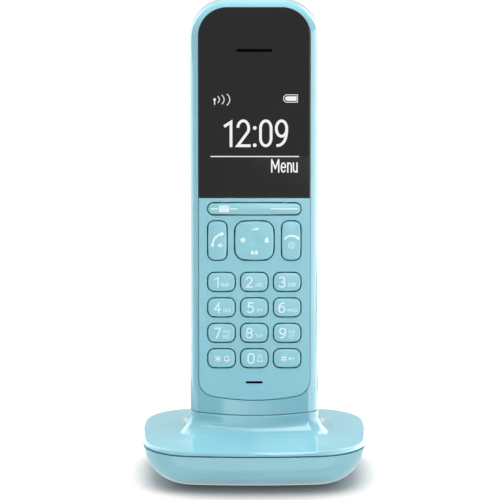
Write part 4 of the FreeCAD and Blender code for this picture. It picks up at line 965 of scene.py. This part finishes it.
# How far the digit and the letters of a key are shifted to the right
SHIFTS = {"key_1": 0.2, "key_2": -0.1, "key_3": -0.1, "key_4": 0.25, "key_5": 0.4, "key_6": -0.25,
          "key_7": 0.3, "key_8": -0.1, "key_9": 0.1}
# Left side of a digit, with those that differ, and the width of the narrow one
DIGIT_LEFT = -3.0
DIGIT_LEFTS = {"key_1": -2.8, "key_0": -2.5}
ONE_WIDTH = 1.6
# Left side and width of a row of letters, with the widths that differ
LETTER_LEFT = 0.4
LETTER_WIDTH = 2.9
LETTER_WIDTHS = {"GHI": 2.6, "JKL": 2.4, "MNO": 3.5, "WX": 2.4, "YZ": 2.0, "PQ": 2.3, "RS": 2.1}
# Bottom of a single row of letters, and of the first of two rows with the distance to the second
SINGLE_BOTTOM = -1.65
FIRST_BOTTOM = -0.35
ROW_DROP = 1.75
# Lines of the star and of the hash sign
STAR_LINE = 0.36
HASH_LINE = 0.32


def reel_marks(line):
    """Two reels on a level line, beside the digit."""
    reels = [ring((across, -0.9), 0.5, line) for across in (0.4, 2.1)]
    return [*reels, stroke(even([(0.4, -1.4), (2.1, -1.4)]), line)]


def star_marks(line):
    """Star of three crossed lines, beside a small bell with its clapper."""
    middle = np.array([-1.3, -0.1])
    marks = []
    for turn in np.radians([30, 90, 150]):
        arm = 1.3 * np.array([math.cos(turn), math.sin(turn)])
        marks.append(stroke(even([middle - arm, middle + arm]), STAR_LINE))
    bell = np.concatenate([[(1.0, -0.75)], bow((1.9, 0.05), 0.72, 0.85, 180, 0),
                           [(2.8, -0.75), (1.0, -0.75)]])
    clapper = stroke(even([(1.6, -1.2), (2.2, -1.2)]), line * 1.5)
    return [*marks, stroke(even(bell)[:-1], line, True), clapper]


def tray_marks(line):
    """Open hood over an open tray, beside the digit."""
    hood = np.concatenate([[(1.45, 0.0)], bow((2.05, 0.75), 0.5, 0.55, 180, 0), [(2.65, 0.0)]])
    tray = [(1.2, -0.45), (1.2, -1.05), (2.85, -1.05), (2.85, -0.45)]
    return [stroke(even(hood), line), stroke(even(tray), line)]


def hash_marks(line):
    """Two slanting and two level lines, beside a small key."""
    slant = 0.14
    marks = [stroke(even([(across - slant, -1.15), (across + slant, 1.1)]), HASH_LINE)
             for across in (-1.55, -0.75)]
    marks += [stroke(even([(-2.25, up), (-0.05, up)]), HASH_LINE) for up in (-0.45, 0.4)]
    return [*marks, ring((0.95, 0.0), 0.33, line), stroke(even([(1.28, 0.0), (2.75, 0.0)]), line)]


SIGNS = {"key_1": reel_marks, "key_star": star_marks, "key_0": tray_marks, "key_hash": hash_marks}


def number_marks(node):
    """Digit, small letters and signs of a number key, about the key's middle."""
    sizes = settings("print")
    shift = SHIFTS.get(node, 0.0)
    marks = []
    if node in DIGITS:
        tall = sizes.digit / MM
        left = DIGIT_LEFTS.get(node, DIGIT_LEFT) + shift
        width = ONE_WIDTH if node == "key_1" else sizes.digit_width / MM
        marks += figure(DIGITS[node], left, -tall / 2, width, tall, sizes.digit_line / MM)
    rows = LETTERS.get(node, ())
    for row, letters in enumerate(rows):
        bottom = SINGLE_BOTTOM if len(rows) == 1 else FIRST_BOTTOM - ROW_DROP * row
        width = LETTER_WIDTHS.get(letters, LETTER_WIDTH)
        marks.append(lettering(letters, LETTER_LEFT + shift, bottom, width, sizes.letter / MM))
    if node in SIGNS:
        marks += SIGNS[node](sizes.line / MM)
    return marks


class HANDSET_OT_number_print(bpy.types.Operator):
    """White digits, letters and icons on the number keys"""

    bl_idname = "handset.number_print"
    bl_label = "Number printing"

    def execute(self, context):
        white = white_paint("white_paint", settings("finish").paint)
        for node in NUMBER_KEYS:
            cap_print(node, number_marks(node), white)
        return {"FINISHED"}


def receiver_marks():
    """Lifted receiver with a thick ear at either end, beside a small speaker with one wave."""
    handle, ear, sound, step = 0.72, 1.05, 0.24, 0.1
    receiver = stroke(swing((1.75, 2.6), (-1.5, 1.75), (-1.85, -1.75)), handle)
    ears = [stroke(even([(1.05, 2.25), (1.95, 2.7)], step), ear), dot((1.8, 2.55), 0.5),
            stroke(even([(-1.65, -1.05), (-1.8, -1.9)], step), ear), dot((-1.75, -1.75), 0.52)]
    speaker = lying([0.15, 0.7, 0.72, 1.35], [-2.05, -2.05, -2.05, -2.65], [-1.3, -1.3, -1.3, -0.7])
    wave = stroke(bow((1.1, -1.67), 0.75, 0.75, -45, 45, 10), sound)
    return [receiver, *ears, speaker, wave]


def hang_up_marks():
    """Receiver that lies down, over a ring with an upright bar."""
    handle, foot, circle, upright, step = 0.7, 0.85, 0.24, 0.26, 0.1
    receiver_middle, ring_middle = 0.15, 0.03
    receiver = stroke(swing((-2.25, 0.95), (receiver_middle, 2.75), (2.55, 0.95)), handle)
    legs = [[(side * 2.3 + receiver_middle, 1.15), (side * 2.35 + receiver_middle, 0.5)]
            for side in (-1, 1)]
    feet = [stroke(even(leg, step), foot) for leg in legs]
    power = ring((ring_middle, -1.7), 1.02, circle)
    bar = stroke(even([(ring_middle, -1.2), (ring_middle, -2.2)]), upright)
    return [receiver, *feet, power, bar]


class HANDSET_OT_call_print(bpy.types.Operator):
    """Receiver icons on the call key and the end key"""

    bl_idname = "handset.call_print"
    bl_label = "Call printing"

    def execute(self, context):
        white = bpy.data.materials["white_paint"]
        cap_print("call_key", receiver_marks(), white)
        cap_print("end_key", hang_up_marks(), white)
        return {"FINISHED"}


def nav_marks():
    """Rising wedge above, house on the left, bell on the right and open book below."""
    house, ringer = -4.2, 4.55
    volume = lying([-1.2, -0.3, 0.6, 1.45], 3.95, [4.02, 4.25, 4.55, 4.9])
    roof = column([1.3, 0.8, 0.35], [0.15, 1.25, 2.35], house)
    walls = [column([0.35, -0.15, -0.65], [0.55, 0.55, 0.55], house + side * 0.5) for side in (-1, 1)]
    lintel = column([0.35, -0.1], [1.5, 1.5], house)
    bell = column([1.25, 1.05, 0.7, 0.0, -0.35, -0.5], [0.25, 0.75, 1.05, 1.25, 1.85, 1.85], ringer)
    clapper = column([-0.58, -0.85], [0.6, 0.3], ringer)
    pages = [lying([side * 0.2, side * 0.75, side * 1.25], [-5.1, -5.05, -4.95], [-3.75, -3.7, -3.6])
             for side in (-1, 1)]
    return [volume, roof, *walls, lintel, bell, clapper, *pages]


class HANDSET_OT_nav_print(bpy.types.Operator):
    """Volume, house, bell and book icons on the navigation key"""

    bl_idname = "handset.nav_print"
    bl_label = "Navigation printing"

    def execute(self, context):
        cap_print("nav_key", nav_marks(), bpy.data.materials["white_paint"])
        return {"FINISHED"}


def bar_marks():
    """Envelope whose flap is a V, with a dash on either side of it, and a long dash on the right."""
    left, right, stations = -12.9, -9.15, 15
    low, top, flap_low = -1.2, 1.25, 1.2
    dash_level, dash_line = 0.05, 0.42
    places = np.linspace(left, right, stations)
    fold = 0.2 + 0.9 * np.abs(np.linspace(-1, 1, stations))
    envelope = lying(places, low, fold - 0.1)
    flap = lying(places, np.minimum(fold + 0.08, flap_low), top)
    dashes = [stroke(even([(start, dash_level), (end, dash_level)]), dash_line)
              for start, end in ((-16.0, -13.3), (-8.8, -6.0), (6.0, 15.8))]
    return [envelope, flap, *dashes]


class HANDSET_OT_bar_print(bpy.types.Operator):
    """Dashes and envelope on the soft-key bar"""

    bl_idname = "handset.bar_print"
    bl_label = "Soft-key printing"

    def execute(self, context):
        cap_print("softkey_rocker", bar_marks(), bpy.data.materials["white_paint"])
        return {"FINISHED"}


# Cloths and display


def flat_level(depth):
    """Level of a flat face: the same everywhere."""
    return lambda across, up: np.full_like(across, depth)


def lay_cloth(name, wide, high, face, middle, material):
    """Flat cloth of a size about a middle height, behind the face round its slot."""
    half, low, top = wide / 2 / MM, (middle - high / 2) / MM, (middle + high / 2) / MM
    level = flat_level(face + settings("print").cloth_depth)
    cloth = [lying([-half, half], low, top)]
    print_marks(name, cloth, (0.0, 0.0), level, "handset", material)


class HANDSET_OT_cloths(bpy.types.Operator):
    """Acoustic cloth in the earpiece slot and the microphone slot, painted near-total black as the shade
    inside the slots
    """

    bl_idname = "handset.cloths"
    bl_label = "Acoustic cloths"

    def execute(self, context):
        sizes = settings("print")
        cloth = slot_shade_cloth("slot_shade_cloth")
        low, high = span_of("display_window")
        ear = high[2] - sizes.ear_drop
        lay_cloth("ear_cloth", sizes.ear_wide, sizes.ear_high, low[1], ear, cloth)
        low = span_of("keypad_plate")[0]
        mouth = low[2] + sizes.mouth_rise
        lay_cloth("mouth_cloth", sizes.mouth_wide, sizes.mouth_high, low[1], mouth, cloth)
        return {"FINISHED"}


# Display, in millimetres from the handset's middle and the rim: character, left side and width of the
# clock's figures, the same with the height for the menu word, and the bottoms of both
CLOCK_FIGURES = (("1", -11.1, 3.1), ("2", -6.55, 5.2), ("0", 1.75, 4.85), ("9", 7.5, 4.8))
CLOCK_BOTTOM = 98.85
MENU_FIGURES = (("M", 6.1, 3.05, 5.1), ("e", 9.55, 2.1, 3.75), ("n", 11.95, 1.8, 3.75),
                ("u", 14.0, 1.8, 3.75))
MENU_BOTTOM = 89.5
# Colon of the clock: its place, the heights of its dots over the bottom, and their radius
COLON = 0.15
COLON_HEIGHTS = (0.68, 7.0)
COLON_RADIUS = 0.68
# Top and foot of the signal's mast, the radius of its knob, and reach and radius of its waves
MAST_TOP = (-14.45, 116.2)
MAST_FOOT = (-14.45, 114.3)
MAST_KNOB = 0.48
MAST_WAVES = ((1.75, 1.44), (3.45, 1.96), (5.5, 2.46))
# Ends of the line over the menu word
MENU_RULE = ((-15.95, 95.4), (16.3, 95.4))
# Widths of the lines of the mast, its waves, the battery and the line over the menu word
MAST_LINE = 0.36
WAVE_LINE = 0.3
CASE_LINE = 0.25
RULE_LINE = 0.38
# Corners of the battery's outline
BATTERY_CASE = ((15.7, 115.25), (11.5, 115.25), (10.7, 115.9), (10.7, 117.25), (11.5, 117.95),
                (15.7, 117.95))


def signal_marks():
    """Mast with a knob and three waves to its right."""
    across, top = MAST_TOP
    waves = [stroke(bow((across + reach - radius, top), radius, radius, -56, 56), WAVE_LINE)
             for reach, radius in MAST_WAVES]
    return [stroke([MAST_FOOT, MAST_TOP], MAST_LINE), dot(MAST_TOP, MAST_KNOB), *waves]


def battery_marks():
    """Outline of a battery with a filled middle."""
    charge = lying([11.2, 11.9, 15.35], [116.2, 115.75, 115.75], [116.95, 117.4, 117.4])
    return [stroke(BATTERY_CASE, CASE_LINE, True), charge]


def clock_marks(tall, line):
    """Four figures with two dots between the pairs."""
    marks = []
    for character, left, width in CLOCK_FIGURES:
        marks += figure(character, left, CLOCK_BOTTOM, width, tall, line)
    return marks + [dot((COLON, CLOCK_BOTTOM + height), COLON_RADIUS) for height in COLON_HEIGHTS]


def menu_marks(line):
    """Level line over the menu word."""
    marks = [stroke(MENU_RULE, RULE_LINE)]
    for character, left, width, height in MENU_FIGURES:
        marks += figure(character, left, MENU_BOTTOM, width, height, line)
    return marks


class HANDSET_OT_screen(bpy.types.Operator):
    """Picture on the display: signal, battery, clock, line and menu word"""

    bl_idname = "handset.screen"
    bl_label = "Display picture"

    def execute(self, context):
        light = screen_light("screen_light")
        sizes = settings("print")
        marks = signal_marks() + battery_marks() + clock_marks(sizes.clock / MM, sizes.clock_line / MM)
        marks += menu_marks(sizes.word_line / MM)
        print_marks("screen_picture", marks, (0.0, 0.0), flat_level(sizes.picture),
                    "handset", light)
        return {"FINISHED"}


# Studio, in metres

# Soft lamps: place, aim, width, height, watts, and whether they show in gloss
LAMP_AIM = (0, 0, 0.09)
LAMPS = {
    "top_lamp": ((0, -0.05, 1.0), (0, -0.05, 0), 0.8, 0.8, 10.3, False),
    "right_lamp": ((0.9, -0.25, 0.3), LAMP_AIM, 0.3, 0.8, 1.2, True),
    "left_lamp": ((-0.7, 0.6, 0.3), LAMP_AIM, 0.25, 0.8, 1.8, False),
}
# Width of the camera's sensor, in millimetres
SENSOR_WIDTH = 36
# Floor's two tones, what it shows to the camera without shadow, its roughness and the scale of its clouds
FLOOR_TONES = ((0.84, 0.84, 0.84), (0.86, 0.86, 0.86))
FLOOR_SEEN = (1.0, 0.945, 0.92)
FLOOR_ROUGHNESS = 0.9
FLOOR_CLOUDS = 40
# Power of the painted contact shadow in front of the object and under it, and the places where these hold
CONTACT_POWERS = (1.25, 0.35)
CONTACT_PLACES = (-0.045, -0.018)
CONTACT_SAMPLES = 16
# How far the cards stand or lie over the floor
CARD_FOOT = 1 * MM
# Cards that lie on the floor: left, right, front and back edge, and strength
FLOOR_CARDS = {
    "bowl_card": (-0.25, 0.25, -0.19, -0.038, 2.2),
    "right_card": (0.06, 0.5, -0.8, -0.15, 4.2),
    "side_card": (0.06, 0.5, -0.15, 0.1, 5.8),
}
# Cards that stand on the floor: place of either end, height and strength
WALL_CARDS = {
    "right_wall": ((0.5, -0.8), (0.5, -0.2), 0.25, 5.0),
    "side_wall": ((0.5, -0.2), (0.5, 0.3), 0.25, 7.3),
    "right_back": ((0.184, 0.078), (0.085, 0.18), 0.3, 5.0),
    "left_back": ((-0.184, 0.078), (-0.085, 0.18), 0.3, 3.4),
    "left_side": ((-0.2, -0.02), (-0.184, 0.078), 0.14, 3.7),
    "back_flag": ((-0.3, 0.5), (0.3, 0.5), 0.25, 0.65),
}
# Card that hangs level over the right front of the deck: corners, height and strength
CRESCENT = ((0.0, -0.028), (0.04, -0.028), (0.06, -0.6), (0.0, -0.13))
CRESCENT_HEIGHT = 0.12
CRESCENT_STRENGTH = 7.0
# Card in front of the object, and its fade
FRONT_CARD = ((-0.3, -0.2), (0.06, -0.2), 0.05, 3.6)
FRONT_FADE = (-0.0128, 0.014, 0.05, 0.3)


def soft_light(name, place, aim, wide, high, watts, gloss):
    """Rectangular soft lamp at a place, turned to an aim; without gloss it is not mirrored."""
    lamp = bpy.data.lights.new(name, "AREA")
    lamp.shape = "RECTANGLE"
    lamp.size, lamp.size_y = wide, high
    lamp.energy = watts
    holder = bpy.data.objects.new(name, lamp)
    holder.location = place
    holder.visible_glossy = gloss
    holder.rotation_euler = (Vector(aim) - Vector(place)).to_track_quat("-Z", "Y").to_euler()
    bpy.context.scene.collection.objects.link(holder)


def calculate(tree, operation, first, second):
    """One step of arithmetic on a value and a value or number."""
    made = tree.nodes.new("ShaderNodeMath")
    made.operation = operation
    tree.links.new(first, made.inputs[0])
    if isinstance(second, (int, float)):
        made.inputs[1].default_value = second
    else:
        tree.links.new(second, made.inputs[1])
    return made.outputs[0]


def backdrop_rays(tree):
    """Two switches: one for rays from the camera, one for rays off a gloss or through a clear piece."""
    rays = tree.nodes.new("ShaderNodeLightPath").outputs
    mirrored = calculate(tree, "MAXIMUM", rays["Is Glossy Ray"], rays["Is Transmission Ray"])
    return rays["Is Camera Ray"], mirrored


def floor_material(sizes):
    """Pale floor that takes the shadow near the object and runs out into plain white further off.

    Near the object a painted shadow darkens the colour that the camera sees, where the object hides the
    floor's close surroundings, most in front of the object.
    """
    material, tree, shader, place = new_material("pale_floor")
    camera, mirrored = backdrop_rays(tree)
    cloud = spread(tree, noise(tree, place, FLOOR_CLOUDS, 3), 0, 1)
    # Painted shadow: occlusion, raised to a power that is highest in front, darkens the floor's colour for
    # the camera
    shadow_occlusion = tree.nodes.new("ShaderNodeAmbientOcclusion")
    shadow_occlusion.samples = CONTACT_SAMPLES
    shadow_occlusion.inputs["Distance"].default_value = sizes.contact
    split = tree.nodes.new("ShaderNodeSeparateXYZ")
    tree.links.new(place, split.inputs["Vector"])
    power = spread(tree, split.outputs["Y"], *CONTACT_POWERS, *CONTACT_PLACES)
    painted_shadow = calculate(tree, "POWER", shadow_occlusion.outputs["AO"], power)
    seen = tree.nodes.new("ShaderNodeMix")
    seen.data_type = "RGBA"
    tree.links.new(camera, seen.inputs["Factor"])
    tree.links.new(blend_colours(tree, cloud, *FLOOR_TONES), seen.inputs["A"])
    tree.links.new(blend_colours(tree, painted_shadow, (0.0, 0.0, 0.0), FLOOR_SEEN), seen.inputs["B"])
    tree.links.new(seen.outputs["Result"], shader.inputs["Base Color"])
    shader.inputs["Roughness"].default_value = FLOOR_ROUGHNESS
    shader.inputs["Specular IOR Level"].default_value = 0
    distance = tree.nodes.new("ShaderNodeVectorMath")
    distance.operation = "LENGTH"
    tree.links.new(place, distance.inputs[0])
    share_white = spread(tree, distance.outputs["Value"], sizes.near_white, 1, sizes.near, sizes.far)
    amount = calculate(tree, "MAXIMUM", calculate(tree, "MULTIPLY", camera, share_white), mirrored)
    white = tree.nodes.new("ShaderNodeEmission")
    both = tree.nodes.new("ShaderNodeMixShader")
    tree.links.new(amount, both.inputs["Fac"])
    tree.links.new(shader.outputs["BSDF"], both.inputs[1])
    tree.links.new(white.outputs["Emission"], both.inputs[2])
    tree.links.new(both.outputs["Shader"], tree.nodes["Material Output"].inputs["Surface"])
    return material


def card(name, corners, strength, fade=None, one_sided=False):
    """Studio card that only shows in gloss.

    A fade holds a start, an end, a dark strength and a last strength: the card is dark up to the start
    across, and falls from its strength there to the last strength at the end. A one-sided card is clear
    from behind.
    """
    material = bpy.data.materials.new(name)
    material.use_nodes = True
    tree = material.node_tree
    tree.nodes.remove(tree.nodes["Principled BSDF"])
    glow = tree.nodes.new("ShaderNodeEmission")
    glow.inputs["Strength"].default_value = strength
    if fade:
        start, end, dark, last = fade
        split = tree.nodes.new("ShaderNodeSeparateXYZ")
        tree.links.new(tree.nodes.new("ShaderNodeTexCoord").outputs["Object"], split.inputs["Vector"])
        across = split.outputs["X"]
        falling = spread(tree, across, strength, last, start, end)
        beyond = calculate(tree, "GREATER_THAN", across, start)
        level = calculate(tree, "MAXIMUM", calculate(tree, "MULTIPLY", falling, beyond), dark)
        tree.links.new(level, glow.inputs["Strength"])
    shown = glow.outputs["Emission"]
    if one_sided:
        both = tree.nodes.new("ShaderNodeMixShader")
        tree.links.new(tree.nodes.new("ShaderNodeNewGeometry").outputs["Backfacing"], both.inputs["Fac"])
        tree.links.new(shown, both.inputs[1])
        tree.links.new(tree.nodes.new("ShaderNodeBsdfTransparent").outputs["BSDF"], both.inputs[2])
        shown = both.outputs["Shader"]
    tree.links.new(shown, tree.nodes["Material Output"].inputs["Surface"])
    mesh = bpy.data.meshes.new(name)
    mesh.from_pydata(corners, [], [(0, 1, 2, 3)])
    mesh.materials.append(material)
    board = bpy.data.objects.new(name, mesh)
    bpy.context.scene.collection.objects.link(board)
    board.visible_camera = board.visible_diffuse = board.visible_shadow = board.visible_transmission = False


def wall_card(name, start, end, height, strength, fade=None):
    """Card that stands on the floor between two places, up to a height."""
    corners = [(*start, CARD_FOOT), (*end, CARD_FOOT), (*end, height), (*start, height)]
    card(name, corners, strength, fade)


def level_corners(left, right, front, back, height):
    """Corners of a level rectangle."""
    return [(left, front, height), (right, front, height), (right, back, height), (left, back, height)]


def lay_floor(scene, sizes):
    """Square floor round the object."""
    half = sizes.floor
    mesh = bpy.data.meshes.new("floor")
    mesh.from_pydata(level_corners(-half, half, -half, half, 0), [], [(0, 1, 2, 3)])
    floor = bpy.data.objects.new("floor", mesh)
    scene.collection.objects.link(floor)
    mesh.materials.append(floor_material(sizes))


def light_surroundings(scene, strength):
    """White world, which lights the object with a strength and shows plain white in gloss and behind it."""
    world = bpy.data.worlds.new("studio")
    world.use_nodes = True
    scene.world = world
    tree = world.node_tree
    background = tree.nodes["Background"]
    background.inputs["Color"].default_value = (1, 1, 1, 1)
    seen = calculate(tree, "MAXIMUM", *backdrop_rays(tree))
    tree.links.new(spread(tree, seen, strength, 1, 0, 1), background.inputs["Strength"])


def hang_cards():
    """Cards whose reflections draw the pale edges and bands of the glossy shells."""
    for name, (*edges, strength) in FLOOR_CARDS.items():
        card(name, level_corners(*edges, CARD_FOOT), strength)
    for name, wall in WALL_CARDS.items():
        wall_card(name, *wall)
    crescent = [(*place, CRESCENT_HEIGHT) for place in CRESCENT]
    card("crescent_card", crescent, CRESCENT_STRENGTH, one_sided=True)
    wall_card("front_card", *FRONT_CARD, FRONT_FADE)


def place_camera(scene, sizes):
    """Camera that looks from the front, raised by its elevation, at what it aims at."""
    lens = bpy.data.cameras.new("camera")
    lens.lens = sizes.lens
    lens.sensor_width = SENSOR_WIDTH
    camera = bpy.data.objects.new("camera", lens)
    target = Vector((sizes.aim_across, 0, sizes.aim_up))
    back = Vector((0, -math.cos(sizes.elevation), math.sin(sizes.elevation)))
    camera.location = target + back * sizes.distance
    camera.rotation_euler = (-back).to_track_quat("-Z", "Y").to_euler()
    scene.collection.objects.link(camera)
    scene.camera = camera


class HANDSET_OT_stage(bpy.types.Operator):
    """Pale floor, white surroundings, soft lamps, cards for the gloss and the camera"""

    bl_idname = "handset.stage"
    bl_label = "Stage"

    def execute(self, context):
        scene, sizes = context.scene, settings("stage")
        lay_floor(scene, sizes)
        light_surroundings(scene, sizes.surroundings)
        for name, lamp in LAMPS.items():
            soft_light(name, *lamp)
        hang_cards()
        place_camera(scene, sizes)
        scene.view_settings.view_transform = "Standard"
        return {"FINISHED"}


STEPS = (HANDSET_OT_shells, HANDSET_OT_front, HANDSET_OT_fittings, HANDSET_OT_cover, HANDSET_OT_caps,
         HANDSET_OT_number_print, HANDSET_OT_call_print, HANDSET_OT_nav_print, HANDSET_OT_bar_print,
         HANDSET_OT_cloths, HANDSET_OT_screen, HANDSET_OT_stage)
GROUPS = {"place": HandsetPlace, "finish": Finishes, "cover": CoverSizes, "caps": CapSizes,
          "print": PrintSizes, "stage": StageSizes}


class HANDSET_PT_panel(bpy.types.Panel):
    """Sizes, colours and steps of the handset"""

    bl_label = "Cordless handset"
    bl_space_type = "VIEW_3D"
    bl_region_type = "UI"
    bl_category = "Handset"

    def draw(self, context):
        for name, group in GROUPS.items():
            box = self.layout.box()
            for prop in group.__annotations__:
                box.prop(settings(name), prop)
        for step in STEPS:
            self.layout.operator(step.bl_idname)


def register():
    """Make the classes known, and hang the property groups on the scene."""
    for kind in (*GROUPS.values(), *STEPS, HANDSET_PT_panel):
        bpy.utils.register_class(kind)
    for name, group in GROUPS.items():
        setattr(bpy.types.Scene, "handset_" + name, bpy.props.PointerProperty(type=group))


def unregister():
    """Take the property groups and the classes away again."""
    for name in GROUPS:
        delattr(bpy.types.Scene, "handset_" + name)
    for kind in reversed((*GROUPS.values(), *STEPS, HANDSET_PT_panel)):
        bpy.utils.unregister_class(kind)


def main():
    """Dress the frame step by step."""
    register()
    for step in STEPS:
        group, name = step.bl_idname.split(".")
        getattr(getattr(bpy.ops, group), name)()


if __name__ == "__main__":
    main()
